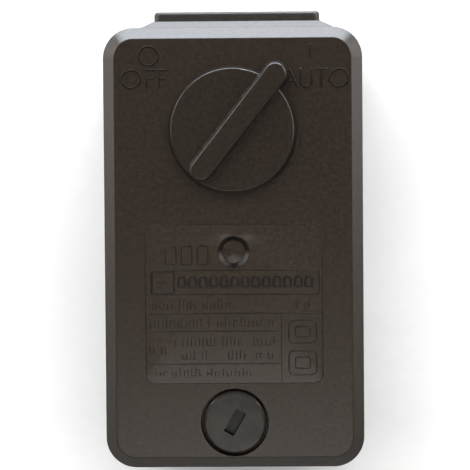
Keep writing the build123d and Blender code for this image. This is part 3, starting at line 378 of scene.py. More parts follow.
HEAD_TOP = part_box("cover_screw_head")[1].z / MM
FINISHES: tuple[Finish, ...] = (
    MOULDED,
    replace(MOULDED, name="base_plastic", dark=tone(27, 20, 14), light=tone(40, 32, 23)),
    replace(
        MOULDED,
        name="knob_plastic",
        dark=tone(23, 17, 11),
        light=tone(35, 27, 19),
        patch=0.8,
        depth=0.015,
        edge=0.16,
        # Painted highlight: the knob's light edge colour draws thin rim highlights all round its edges.
        wear_and_highlight=0.8,
        wear_and_highlight_colour=tone(112, 104, 94),
    ),
    replace(
        MOULDED,
        name="screw_plastic",
        dark=tone(28, 25, 22),
        light=tone(40, 36, 32),
        patch=4.0,
        grain=1.2,
        depth=0.012,
        gloss=(0.24, 0.3),
        specular=0.33,
        # Painted highlight: the head's light edge colour stands in for glints on its rounded rim.
        wear_and_highlight=0.5,
        # Painted shade: the head's slot and the gap round it darken below these heights.
        recess_shade=(HEAD_TOP - 1.9, HEAD_TOP - 0.7),
    ),
    replace(MOULDED, name="plate_plastic", dark=tone(32, 29, 25), light=tone(42, 38, 34), gloss=(0.33, 0.42)),
    Finish(
        "grommet_rubber",
        dark=tone(22, 22, 23),
        light=tone(44, 44, 45),
        patch=3.0,
        grain=0.25,
        depth=0.02,
        gloss=(0.62, 0.8),
        specular=0.3,
    ),
    Finish(
        "seal_rubber",
        dark=tone(18, 18, 19),
        light=tone(36, 36, 38),
        patch=2.0,
        grain=0.3,
        depth=0.01,
        gloss=(0.4, 0.6),
        specular=0.35,
    ),
    Finish(
        "cast_alloy",
        dark=tone(118, 120, 122),
        light=tone(168, 170, 170),
        pattern=Pattern.PITTED,
        patch=1.4,
        grain=0.5,
        depth=0.06,
        gloss=(0.42, 0.62),
        metal=1.0,
        wear_and_highlight=0.4,
        wear_and_highlight_colour=tone(205, 206, 205),
    ),
    ZINC,
    replace(
        ZINC,
        name="passivated_steel",
        dark=tone(168, 148, 96),
        light=tone(206, 190, 140),
        pattern=Pattern.CLOUDS,
        patch=5.0,
    ),
    Finish(
        "spring_steel",
        dark=tone(96, 100, 108),
        light=tone(160, 163, 168),
        pattern=Pattern.DRAWN,
        patch=0.9,
        grain=0.2,
        depth=0.004,
        gloss=(0.22, 0.38),
        metal=1.0,
        edge=0.05,
    ),
    replace(
        ZINC,
        name="stud_steel",
        dark=tone(140, 142, 146),
        light=tone(186, 188, 190),
        pattern=Pattern.DRAWN,
        patch=1.2,
    ),
    Finish(
        "brass",
        dark=tone(150, 116, 58),
        light=tone(204, 170, 98),
        patch=3.0,
        grain=0.25,
        depth=0.006,
        gloss=(0.22, 0.45),
        metal=1.0,
        edge=0.1,
    ),
    Finish(
        "silver_alloy",
        dark=tone(150, 146, 138),
        light=tone(222, 220, 214),
        patch=1.0,
        grain=0.2,
        depth=0.006,
        gloss=(0.26, 0.5),
        metal=1.0,
        edge=0.1,
    ),
    Finish(
        "block_plastic",
        dark=tone(34, 33, 31),
        light=tone(52, 50, 47),
        patch=3.0,
        grain=0.5,
        depth=0.03,
        gloss=(0.38, 0.52),
        wear_and_highlight=0.3,
        wear_and_highlight_colour=tone(86, 82, 77),
    ),
    Finish(
        "carrier_plastic",
        dark=tone(92, 34, 24),
        light=tone(124, 52, 36),
        patch=3.5,
        grain=0.4,
        depth=0.02,
        gloss=(0.34, 0.48),
    ),
    Finish(
        "cam_plastic",
        dark=tone(196, 190, 174),
        light=tone(224, 219, 205),
        patch=4.0,
        grain=0.5,
        depth=0.012,
        gloss=(0.3, 0.42),
    ),
    PANEL,
    GROOVE_SHADE,
    replace(ZINC, name="threaded_steel", grain=0.15, patch=0.8, gloss=(0.3, 0.48)),
)


# ---------------------------------------------------------------- surfaces


def grid_faces(rows: int, columns: int, first: int, joined: bool) -> np.ndarray:
    """Quads between neighbouring points of a grid whose columns close up on themselves.

    Args:
        rows: rings of points.
        columns: points in a ring.
        first: number of the grid's first point.
        joined: whether the last ring joins the first.

    Returns:
        Four point numbers a row: (i, j), (i + 1, j), (i + 1, j + 1), (i, j + 1).
    """
    i, j = np.meshgrid(np.arange(rows if joined else rows - 1), np.arange(columns), indexing="ij")
    i_next, j_next = (i + 1) % rows, (j + 1) % columns
    corners = (i * columns + j, i_next * columns + j, i_next * columns + j_next, i * columns + j_next)
    return np.stack(corners, axis=-1).reshape(-1, 4) + first


def volume_of(points: np.ndarray, faces: np.ndarray) -> float:
    """Signed volume of a closed patch: a sixth of the sum of a . (b x c) over its triangles."""
    a, b, c = points[faces[:, 0]], points[faces[:, 1]], points[faces[:, 2]]
    total = np.einsum("ij,ij->", a, np.cross(b, c))
    if faces.shape[1] == 4:
        total += np.einsum("ij,ij->", a, np.cross(c, points[faces[:, 3]]))
    return float(total) / 6


class Surface:
    """Closed skins made of rings of points, gathered into one mesh."""

    def __init__(self) -> None:
        """Starts with nothing in it."""
        self.points: list[np.ndarray] = []
        self.faces: list[list[int]] = []
        self.count = 0

    def skin(self, rings: np.ndarray, joined: bool = False) -> None:
        """Adds one closed skin through rings of points, and turns its faces outwards.

        An open run of rings is closed at each end by a fan to the middle of its last ring.

        Args:
            rings: points, ring by place in the ring by coordinate, mm.
            joined: whether the last ring meets the first, as in a hoop.
        """
        rows, columns, _ = rings.shape
        points = rings.reshape(-1, 3)
        quads = grid_faces(rows, columns, 0, joined)
        fans = np.empty((0, 3), int)
        if not joined:
            points = np.vstack((points, rings[0].mean(0), rings[-1].mean(0)))
            j = np.arange(columns)
            j_next, low, last = (j + 1) % columns, rows * columns, (rows - 1) * columns
            fans = np.vstack(
                (
                    np.stack((np.full(columns, low), j, j_next), axis=-1),
                    np.stack((np.full(columns, low + 1), last + j_next, last + j), axis=-1),
                )
            )
        centred = points - points.mean(0)
        inside_out = volume_of(centred, quads) + (0 if joined else volume_of(centred, fans)) < 0
        for faces in (quads, fans):
            turned = faces[:, ::-1] if inside_out else faces
            self.faces += (turned + self.count).tolist()
        self.points.append(points)
        self.count += len(points)

    def make(
        self, name: str, finish: bpy.types.Material, sharp: float = 40.0
    ) -> bpy.types.Object:
        """Turns what was gathered into an object, in metres.

        Args:
            name: the piece's name.
            finish: its material.
            sharp: edges that turn more than this many degrees stay sharp.

        Returns:
            The piece.
        """
        mesh = bpy.data.meshes.new(name)
        mesh.from_pydata((np.vstack(self.points) * MM).tolist(), [], self.faces)
        mesh.validate()
        mesh.shade_smooth()
        mesh.set_sharp_from_angle(angle=math.radians(sharp))
        mesh.materials.append(finish)
        piece = bpy.data.objects.new(name, mesh)
        bpy.context.scene.collection.objects.link(piece)
        log.info("%s: %d faces, finish %s", name, len(mesh.polygons), finish.name)
        return piece


def arc(centre: Point, radii: Point, start: float, end: float, steps: int = 24) -> np.ndarray:
    """Points on an ellipse's arc: centre + radii * (cos a, sin a), a from start to end in degrees."""
    a = np.radians(np.linspace(start, end, steps))
    return np.stack((centre[0] + radii[0] * np.cos(a), centre[1] + radii[1] * np.sin(a)), axis=-1)


def line(start: Point, end: Point, steps: int = 2) -> np.ndarray:
    """Evenly spaced points from one end of a straight line to the other."""
    share = np.linspace(0, 1, steps)[:, None]
    return np.array(start) * (1 - share) + np.array(end) * share


def rounded_box(low: Point, high: Point, radius: float, steps: int = 6) -> np.ndarray:
    """Outline of a rectangle with round corners: four quarter circles, joined by their chords."""
    corners = (
        ((high[0] - radius, high[1] - radius), 0),
        ((low[0] + radius, high[1] - radius), 90),
        ((low[0] + radius, low[1] + radius), 180),
        ((high[0] - radius, low[1] + radius), 270),
    )
    return np.vstack([arc(centre, (radius, radius), a, a + 90, steps) for centre, a in corners])


@dataclass(frozen=True)
class Ridge:
    """Cross-section of a raised line: its width, its height above the face and its foot's depth."""

    width: float
    height: float
    sunk: float = 0.06
    fullness: float = 0.6
    sides: int = 12

    def carry(self, surface: Surface, path: np.ndarray, level: float, joined: bool = False) -> None:
        """Carries the section along a flat path, and ends it in half a dome.

        A point is path + across * w * c + up * h * s, where c and s are the cosine and sine of the
        place in the ring, each raised to the power fullness with its sign kept, w is half the
        width, and h is the height above the face and the foot's depth below it. Past an end, w
        and h shrink as a quarter circle does.

        Args:
            surface: what the skin is added to.
            path: points in the face, mm.
            level: the face's height, mm.
            joined: whether the path closes on itself.
        """
        half = self.width / 2
        size = np.ones(len(path))
        if joined:
            along = np.roll(path, -1, 0) - np.roll(path, 1, 0)
        else:
            a = np.radians((20, 45, 70, 85))
            first, last = path[0] - path[1], path[-1] - path[-2]
            first, last = first / np.linalg.norm(first), last / np.linalg.norm(last)
            over = np.sin(a)[:, None] * half
            path = np.vstack(((path[0] + first * over)[::-1], path, path[-1] + last * over))
            size = np.concatenate((np.cos(a)[::-1], size, np.cos(a)))
            along = np.gradient(path, axis=0)
        along = along / np.linalg.norm(along, axis=1, keepdims=True)
        across = np.stack((-along[:, 1], along[:, 0]), axis=-1)
        t = np.linspace(0, 2 * np.pi, self.sides, endpoint=False)
        c = np.sign(np.cos(t)) * np.abs(np.cos(t)) ** self.fullness
        s = np.sign(np.sin(t)) * np.abs(np.sin(t)) ** self.fullness
        rise = np.where(s > 0, self.height * s, self.sunk * s)
        flat = path[:, None, :] + across[:, None, :] * (half * size[:, None] * c)[:, :, None]
        up = level + size[:, None] * rise
        surface.skin(np.concatenate((flat, up[:, :, None]), axis=-1), joined)


# ---------------------------------------------------------------- the cover's face


class Glyph(Enum):
    """The plain stroke letters of the two switch positions."""

    RING = "O"
    FORK = "F"
    PEAK = "A"
    BOWL = "U"
    TEE = "T"

    def strokes(self, left: float, foot: float, width: float, height: float) -> list[tuple[np.ndarray, bool]]:
        """Works out the letter's strokes.

        Args:
            left: the letter's left edge, mm.
            foot: its foot, mm.
            width: its width, mm.
            height: its height, mm.

        Returns:
            Each stroke's path, and whether it closes on itself.
        """
        right, top, middle = left + width, foot + height, left + width / 2
        if self is Glyph.RING:
            ring = arc((middle, foot + height / 2), (width / 2, height / 2), 0, 360, 41)[:-1]
            return [(ring, True)]
        if self is Glyph.FORK:
            arm = foot + height * 0.52
            bars = ((left, top), (right, top)), ((left, arm), (right - width * 0.15, arm))
            return [(line(a, b), False) for a, b in (((left, foot), (left, top)), *bars)]
        if self is Glyph.PEAK:
            reach, bar = width * 0.31, foot + height * 0.34
            legs = ((left, foot), (middle, top)), ((right, foot), (middle, top))
            bars = (*legs, ((middle - reach, bar), (middle + reach, bar)))
            return [(line(a, b), False) for a, b in bars]
        if self is Glyph.BOWL:
            bend = arc((middle, foot + width / 2), (width / 2, width / 2), 180, 360, 17)
            return [(np.vstack(((left, top), bend, (right, top))), False)]
        return [(line((left, top), (right, top)), False), (line((middle, foot), (middle, top)), False)]


@dataclass
class PositionMarks:
    """The raised marks beside the knob: a ring and OFF on the left, a bar and AUTO on the right."""

    axis: Point
    face: float
    ridge: Ridge = Ridge(0.46, 0.3)
    foot: float = 9.3
    height: float = 3.9
    ring: Point = (-18.4, 16.3)
    ring_radius: float = 2.1
    bar: Point = (17.0, 16.1)
    bar_length: float = 2.5
    words: tuple[tuple[str, tuple[tuple[Glyph, float, float], ...]], ...] = (
        ("off", ((Glyph.RING, -24.3, 4.1), (Glyph.FORK, -18.9, 1.9), (Glyph.FORK, -16.1, 1.7))),
        (
            "auto",
            (
                (Glyph.PEAK, 10.9, 3.3),
                (Glyph.BOWL, 15.0, 2.4),
                (Glyph.TEE, 18.4, 2.3),
                (Glyph.RING, 21.3, 4.1),
            ),
        ),
    )

    def build(self, finish: bpy.types.Material) -> list[bpy.types.Object]:
        """Builds the two words and the two signs.

        Args:
            finish: the dark material that paints the shade of engraved grooves.

        Returns:
            Four pieces, each riding on the cover.
        """
        x, y = self.axis
        made = []
        for word, letters in self.words:
            surface = Surface()
            for glyph, left, width in letters:
                for path, joined in glyph.strokes(x + left, y + self.foot, width, self.height):
                    self.ridge.carry(surface, path, self.face, joined)
            made.append(surface.make(f"mark_{word}", finish))
        ring, bar = (x + self.ring[0], y + self.ring[1]), (x + self.bar[0], y + self.bar[1])
        signs = (
            ("ring", arc(ring, (self.ring_radius,) * 2, 0, 360, 49)[:-1], True),
            ("bar", line(bar, (bar[0], bar[1] + self.bar_length)), False),
        )
        for sign, path, joined in signs:
            surface = Surface()
            self.ridge.carry(surface, path, self.face, joined)
            made.append(surface.make(f"mark_{sign}", finish))
        for piece in made:
            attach(piece, "cover")
        return made


@dataclass
class RatingPanel:
    """The field of plain relief on the cover: a frame, ruled rows, blank blocks and rows of ticks.

    Each row of ticks is its middle, its height and the spans that its ticks fill. Approval marks
    are the lower and upper ends of the blank outlines at the panel's right.
    """

    face: float
    gate: Point
    half_width: float = 19.45
    top: float = 5.3
    bottom: float = -29.7
    corner: float = 1.8
    field_rise: float = 0.05
    gate_clear: float = 3.62
    rule: Ridge = Ridge(0.26, 0.12, fullness=0.5, sides=8)
    fine_rule: Ridge = Ridge(0.16, 0.09, fullness=0.5, sides=8)
    bold_rule: Ridge = Ridge(0.42, 0.14, fullness=0.5, sides=8)
    outline: Ridge = Ridge(0.3, 0.13, fullness=0.5, sides=8)
    block: Ridge = Ridge(0.6, 0.16, fullness=0.35, sides=10)
    tick: Ridge = Ridge(0.17, 0.1, fullness=0.5, sides=6)
    divider: float = 10.4
    name_box: tuple[float, float, float, float] = (-18.3, 18.7, -10.1, -4.8)
    cell_right: float = -13.2
    row_rules: tuple[float, ...] = (-18.2, -25.4)
    full_rule: float = -14.3
    blocks: int = 13
    block_height: float = 2.7
    name_marks: tuple[float, ...] = (-15.0, -11.5, -8.0)
    approval_marks: tuple[Point, ...] = ((-20.9, -15.9), (-27.9, -22.6))
    rows: tuple[tuple[float, float, tuple[Point, ...]], ...] = (
        (-12.35, 1.9, ((-18.0, -0.4), (13.0, 17.2))),
        (-16.3, 1.8, ((-18.4, 9.2),)),
        (-20.5, 1.8, ((-13.0, 1.6), (4.3, 9.1))),
        (-22.0, 2.3, ((-18.6, -14.4),)),
        (-23.5, 1.7, ((-11.4, -4.8), (-1.3, 2.5), (4.8, 9.1))),
        (-27.3, 1.5, ((-17.2, 3.6),)),
    )
    seed: int = 7

    def frame_path(self, steps: int = 6) -> np.ndarray:
        """The frame's outline."""
        return rounded_box((-self.half_width, self.bottom), (self.half_width, self.top), self.corner, steps)

    def field(self, finish: bpy.types.Material) -> bpy.types.Object:
        """Builds the field's thin pad, with a round opening over the moulding gate's mark.

        The section is a loop of eight points and runs round the opening. For a point of the frame
        at angle a from the gate's middle, the section's inner end is that middle
        + clear * (cos a, sin a), its outer end is the frame's point, and each point between is
        inner * (1 - share) + outer * share.

        Args:
            finish: the panel's material.

        Returns:
            The pad.
        """
        frame_path = self.frame_path(12)
        ends = zip(frame_path, np.roll(frame_path, -1, 0))
        dense = np.vstack([line(tuple(a), tuple(b), 9)[:-1] for a, b in ends])
        ray = dense - np.array(self.gate)
        a = np.arctan2(ray[:, 1], ray[:, 0])
        order = np.argsort(a)
        a, outer = a[order], dense[order]
        inner = np.array(self.gate) + self.gate_clear * np.stack((np.cos(a), np.sin(a)), axis=-1)
        shares = np.array((0.0, 0.02, 0.5, 0.98, 1.0, 1.0, 0.5, 0.0))
        rises = np.array((-0.3, 1.0, 1.0, 1.0, -0.3, -1.2, -1.2, -1.2)) * self.field_rise
        flat = inner[:, None, :] * (1 - shares[None, :, None]) + outer[:, None, :] * shares[None, :, None]
        up = np.broadcast_to(self.face + rises, flat.shape[:2])
        surface = Surface()
        surface.skin(np.concatenate((flat, up[:, :, None]), axis=-1), joined=True)
        return surface.make("panel_field", finish)

    def frame_lines(self, finish: bpy.types.Material) -> bpy.types.Object:
        """Builds the frame's outline, the ruled rows, the name box, its cell and the divider.

        Args:
            finish: the dark material that paints the shade of engraved grooves.

        Returns:
            One piece with every line.
        """
        surface = Surface()
        left, right, low, high = self.name_box
        level = self.face + self.field_rise
        self.fine_rule.carry(surface, self.frame_path(), self.face, joined=True)
        self.rule.carry(surface, rounded_box((left, low), (right, high), 0.35), level, joined=True)
        cell = rounded_box((left + 0.25, low + 0.3), (self.cell_right, high - 0.3), 0.3)
        self.bold_rule.carry(surface, cell, level, joined=True)
        edge = self.half_width - 0.6
        self.rule.carry(surface, line((-edge, self.full_rule), (edge, self.full_rule)), level)
        for y in self.row_rules:
            self.rule.carry(surface, line((-edge, y), (self.divider, y)), level)
        divider = line((self.divider, self.full_rule), (self.divider, self.bottom + 0.5))
        self.fine_rule.carry(surface, divider, level)
        return surface.make("panel_lines", finish)

    def blank_blocks(self, finish: bpy.types.Material) -> bpy.types.Object:
        """Builds the plain blocks in the name box, the blank badge and the blank outlines.

        Args:
            finish: the dark material that paints the shade of engraved grooves.

        Returns:
            One piece with every block.
        """
        surface = Surface()
        level = self.face + self.field_rise
        left, right, low, high = self.name_box
        middle = (low + high) / 2
        pitch = (right - 1.0 - (self.cell_right + 0.7)) / self.blocks
        reach = self.block_height / 2 - 0.3
        for number in range(self.blocks):
            x = self.cell_right + 0.7 + number * pitch
            hollow = rounded_box((x + 0.3, middle - reach), (x + pitch - 0.55, middle + reach), 0.45)
            self.block.carry(surface, hollow, level, joined=True)
        badge = (left + self.cell_right) / 2
        self.block.carry(surface, line((badge - 0.9, middle), (badge + 0.9, middle)), level)
        boxes = [rounded_box((x, -3.5), (x + 2.3, 0.5), 0.5) for x in self.name_marks]
        for bottom, top in self.approval_marks:
            boxes.append(rounded_box((12.0, bottom), (18.1, top), 1.1))
            boxes.append(rounded_box((13.4, bottom + 1.4), (16.7, top - 1.4), 0.5))
        for box in boxes:
            self.outline.carry(surface, box, level, joined=True)
        return surface.make("panel_blocks", finish)

    def tick_rows(self, finish: bpy.types.Material) -> bpy.types.Object:
        """Builds the rows of short upright ticks and level dashes that stand in for small print.

        Along a row the ticks step by a pitch with a little drift, and every few ticks a gap
        parts one group from the next, from a seeded generator.

        Args:
            finish: the dark material that paints the shade of engraved grooves.

        Returns:
            One piece with every tick.
        """
        draw = np.random.default_rng(self.seed)
        level = self.face + self.field_rise
        surface = Surface()
        for middle, height, spans in self.rows:
            for start, end in spans:
                x = start
                while x < end:
                    reach = height / 2 * (1.0 if draw.random() < 0.55 else 0.68)
                    foot = middle - height / 2
                    self.tick.carry(surface, line((x, foot), (x, foot + 2 * reach)), level)
                    if draw.random() < 0.6:
                        y = foot + 2 * reach * draw.choice((0.0, 0.5, 1.0))
                        self.tick.carry(surface, line((x, y), (x + 0.55, y)), level)
                    x += 0.8 + 0.12 * draw.random() + (0.9 if draw.random() < 0.14 else 0.0)
        return surface.make("panel_ticks", finish)

    def build(self, panel: bpy.types.Material, groove_shade: bpy.types.Material) -> None:
        """Builds the whole panel on the cover.

        Args:
            panel: the field's material.
            groove_shade: the dark material of lines, blocks and ticks, a painted shade of engraved grooves.
        """
        pad = self.field(panel)
        for piece in (pad, self.frame_lines(groove_shade), self.blank_blocks(groove_shade), self.tick_rows(groove_shade)):
            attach(piece, "cover")


@dataclass
class GateMark:
    """The crowned floor of the moulding gate's recess, with the torn nib left by the runner.

    Wall is the section of the dark sheet painting shade on the sloping wall: distances from the middle and
    heights above the floor.
    """

    middle: Point
    floor: float
    radius: float = 3.05
    crown: float = 0.55
    nib: Point = (-0.45, -0.35)
    nib_radius: float = 0.55
    nib_height: float = 0.22
    wall: tuple[Point, ...] = ((2.36, 0.1), (3.48, 1.01), (3.48, 0.85), (2.36, -0.05))

    def wall_shade(self, finish: bpy.types.Material) -> bpy.types.Object:
        """Builds a dark sheet over the dish's sloping wall as painted shade, its four-cornered section
        carried round.

        Args:
            finish: the dark material that paints shade.

        Returns:
            The painted-shade sheet, riding on the cover.
        """
        a = np.linspace(0, 2 * np.pi, 72, endpoint=False)[:, None]
        reach, rise = np.array(self.wall).T
        x, y = self.middle[0] + reach * np.cos(a), self.middle[1] + reach * np.sin(a)
        surface = Surface()
        surface.skin(np.stack((x, y, np.broadcast_to(self.floor + rise, x.shape)), axis=-1), joined=True)
        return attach(surface.make("gate_wall_shade", finish, sharp=40.0), "cover")

    def build(self, finish: bpy.types.Material) -> bpy.types.Object:
        """Builds the crown.

        At radius r and angle a its height is crown * (1 - (r / radius)^2.4), plus the nib. At d nib
        radii from the nib's middle that is a bell, exp(-d^2), less a dent, 1.1 exp(-(2.2 d)^2), plus
        a torn edge, 0.12 sin(3 a + 5 d) exp(-d^2), all times the nib's height.

        Args:
            finish: the cover's own material.

        Returns:
            The crown, riding on the cover.
        """
        r = np.concatenate((np.linspace(0.12, self.radius, 24), (self.radius,)))[:, None]
        a = np.linspace(0, 2 * np.pi, 64, endpoint=False)[None, :]
        x, y = r * np.cos(a), r * np.sin(a)
        d = np.hypot(x - self.nib[0], y - self.nib[1]) / self.nib_radius
        bell = np.exp(-(d**2))
        torn = bell - 1.1 * np.exp(-((2.2 * d) ** 2)) + 0.12 * np.sin(3 * a + 5 * d) * bell
        z = self.floor + self.crown * (1 - (r / self.radius) ** 2.4) + self.nib_height * torn
        z[-1] = self.floor - 0.05
        z[-2] = self.floor + 0.02
        surface = Surface()
        surface.skin(np.stack((self.middle[0] + x, self.middle[1] + y, z), axis=-1))
        piece = surface.make("gate_crown", finish, sharp=60.0)
        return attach(piece, "cover")


# ---------------------------------------------------------------- springs, blade and threads


@dataclass
class CoilSpring:
    """A compression spring with closed and ground ends, made as two halves that meet in the middle."""

    name: str
    node: str
    nut_body: str
    turns: float
    wire: float
    dead_turns: float = 0.85
    ground: float = 0.55
    round_steps: int = 14
    turn_steps: int = 44

    def half(self, upper: bool, finish: bpy.types.Material) -> bpy.types.Object:
        """Builds one half of the coil.

        The wire's middle at share s of the way along is (radius * cos A, radius * sin A, z), where
        A = 2 pi * turns * s. Its climb grows from one wire's thickness a turn at the ends to the
        open pitch by a smooth step, and z is the running sum of the climb. Points past the ends'
        planes are pressed flat onto them, as grinding does.

        Args:
            upper: the half at the nut, or else the one at the lever.
            finish: the spring's material.

        Returns:
            The half, fixed in place where it was built.
        """
        low, high = (Vector(corner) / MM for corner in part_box(self.node))
        centre = ((low.x + high.x) / 2, (low.y + high.y) / 2)
        radius = (high.x - low.x) / 2 - self.wire
        steps = int(self.turns * self.turn_steps) // 2 * 2 + 1
        s = np.linspace(0, 1, steps)
        inward = np.clip((np.minimum(s, 1 - s) * self.turns - self.dead_turns) / 0.5, 0, 1)
        open_share = inward * inward * (3 - 2 * inward)
        first, last = low.z + self.wire * (1 - self.ground), high.z - self.wire * (1 - self.ground)
        closed = 2.06 * self.wire * self.turns
        climb = closed + open_share * (last - first - closed) / open_share.mean()
        z = first + (last - first) * np.cumsum(climb - climb[0] / steps) / np.sum(climb)
        z = first + (last - first) * (z - z[0]) / (z[-1] - z[0])
        turn = 2 * np.pi * self.turns * s
        path = np.stack((centre[0] + radius * np.cos(turn), centre[1] + radius * np.sin(turn), z), axis=-1)
        along = np.gradient(path, axis=0)
        along /= np.linalg.norm(along, axis=1, keepdims=True)
        out = np.stack((np.cos(turn), np.sin(turn), np.zeros(steps)), axis=-1)
        side = np.cross(along, out)
        t = np.linspace(0, 2 * np.pi, self.round_steps, endpoint=False)[None, :, None]
        rings = path[:, None, :] + self.wire * (np.cos(t) * out[:, None, :] + np.sin(t) * side[:, None, :])
        rings[:, :, 2] = np.clip(rings[:, :, 2], low.z, high.z)
        middle = steps // 2
        surface = Surface()
        surface.skin(rings[middle:] if upper else rings[: middle + 1])
        piece = surface.make(f"{self.name}_{'upper' if upper else 'lower'}", finish)
        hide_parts(self.node)
        if upper:
            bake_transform(piece)
        else:
            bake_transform(piece)
        return piece

    def build(self, finish: bpy.types.Material) -> None:
        """Builds both halves."""
        for upper in (False, True):
            self.half(upper, finish)


@dataclass
class SnapBlade:
    """The bowed leaf under the contact carrier, waisted between its seats and its crown."""

    node: str = "snap_blade"
    sheet: float = 0.4
    waist: float = 0.55
    steps: int = 61

    def build(self, finish: bpy.types.Material) -> bpy.types.Object:
        """Builds the leaf.

        At share u from -1 to 1 along it, its height is foot + rise * (1 - u^2), and its half width
        is the seat's less waist * sin(pi |u|)^2. The section is a flat bar with round edges.

        Args:
            finish: the spring's material.

        Returns:
            The leaf, fixed in place where it was built.
        """
        low, high = (Vector(corner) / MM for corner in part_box(self.node))
        u = np.linspace(-1, 1, self.steps)
        half_length, half_width = (high.x - low.x) / 2, (high.y - low.y) / 2
        half_sheet = self.sheet / 2
        rise = high.z - low.z - self.sheet
        x = (low.x + high.x) / 2 + half_length * u
        z = low.z + half_sheet + rise * (1 - u**2)
        slope = -2 * rise * u / half_length
        normal = np.stack((-slope, np.zeros_like(u), np.ones_like(u)), axis=-1)
        normal /= np.linalg.norm(normal, axis=1, keepdims=True)
        reach = half_width - self.waist * np.sin(np.pi * np.abs(u)) ** 2
        t = np.linspace(0, 2 * np.pi, 16, endpoint=False)
        across = np.sign(np.cos(t)) * np.abs(np.cos(t)) ** 0.25
        through = np.sign(np.sin(t)) * np.abs(np.sin(t)) ** 0.5
        middle_y = (low.y + high.y) / 2
        path = np.stack((x, np.full_like(x, middle_y), z), axis=-1)
        rings = path[:, None, :] + np.array((0, 1, 0)) * (reach[:, None] * across)[:, :, None]
        rings = rings + normal[:, None, :] * (half_sheet * through)[None, :, None]
        rings[:, :, 0] = np.clip(rings[:, :, 0], low.x, high.x)
        surface = Surface()
        surface.skin(rings)
        piece = surface.make("snap_leaf", finish)
        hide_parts(self.node)
        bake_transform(piece)
        return piece


@dataclass
class Thread:
    """A screw thread lying on a shank, or in a bore where the crest is smaller than the root."""

    name: str
    body: str
    slot: str
    axis: Point
    low: float
    high: float
    root: float
    crest: float
    pitch: float
    start_steps: int = 48
    pitch_steps: int = 8

    def build(self, finish: bpy.types.Material) -> bpy.types.Object:
        """Builds the thread as a closed sleeve.

        At angle a and height z its radius is root + (crest - root) * v * fade, where v is the
        thread's profile: 0 along the root, 1 along the crest and straight flanks between, read at
        the fraction of z / pitch - a / (2 pi). Fade falls to 0 over the last turn at each end.

        Args:
            finish: the material.

        Returns:
            The sleeve, riding on its body.
        """
        rows = int((self.high - self.low) / self.pitch * self.pitch_steps) + 1
        z = np.linspace(self.low, self.high, rows)[:, None]
        a = np.linspace(0, 2 * np.pi, self.start_steps, endpoint=False)[None, :]
        place = np.mod(z / self.pitch - a / (2 * np.pi), 1.0)
        v = np.clip(1.9 - np.abs(place - 0.5) * 4.6, 0, 1)
        near = np.minimum(z - self.low, self.high - z) / self.pitch
        fade = np.clip(near - 0.2, 0, 1)
        outward = 1 if self.crest > self.root else -1
        root = self.root + outward * 0.025
        radius = root + (self.crest - root) * v * fade
        back = self.root - outward * 0.15
        radius = np.vstack((radius, np.full((2, self.start_steps), back)))
        z = np.vstack((z, (self.high,), (self.low,)))
        x, y = self.axis[0] + radius * np.cos(a), self.axis[1] + radius * np.sin(a)
        surface = Surface()
        surface.skin(np.stack((x, y, np.broadcast_to(z, x.shape)), axis=-1), joined=True)
        piece = surface.make(self.name, finish, sharp=75.0)
        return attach(piece, self.body)


# ---------------------------------------------------------------- floor, lights and camera


@dataclass(frozen=True)
class SoftLight:
    """A square soft box that faces the object, seen in its matt shading, in its gloss or in both."""

    name: str
    azimuth: float
    elevation: float
    distance: float
    size: Point
    power: float
    colour: Colour = (1.0, 1.0, 1.0)
    diffuse: bool = True
    gloss: bool = True

    def place(self, target: Vector) -> None:
        """Puts the soft box at its azimuth from +X towards +Y and its elevation, facing the target.

        Args:
            target: what it lights, m.
        """
        a, e = math.radians(self.azimuth), math.radians(self.elevation)
        away = Vector((math.cos(a) * math.cos(e), math.sin(a) * math.cos(e), math.sin(e)))
        data = bpy.data.lights.new(self.name, "AREA")
        data.shape = "RECTANGLE"
        data.size, data.size_y = (side * MM for side in self.size)
        data.energy = self.power
        data.color = self.colour
        lamp = bpy.data.objects.new(self.name, data)
        lamp.location = target + away * self.distance * MM
        lamp.rotation_mode = "QUATERNION"
        lamp.rotation_quaternion = (-away).to_track_quat("-Z", "Y")
        lamp.visible_diffuse = self.diffuse
        lamp.visible_glossy = self.gloss
        lamp.visible_camera = False
        bpy.context.scene.collection.objects.link(lamp)


WARM = (1.0, 0.98, 0.95)


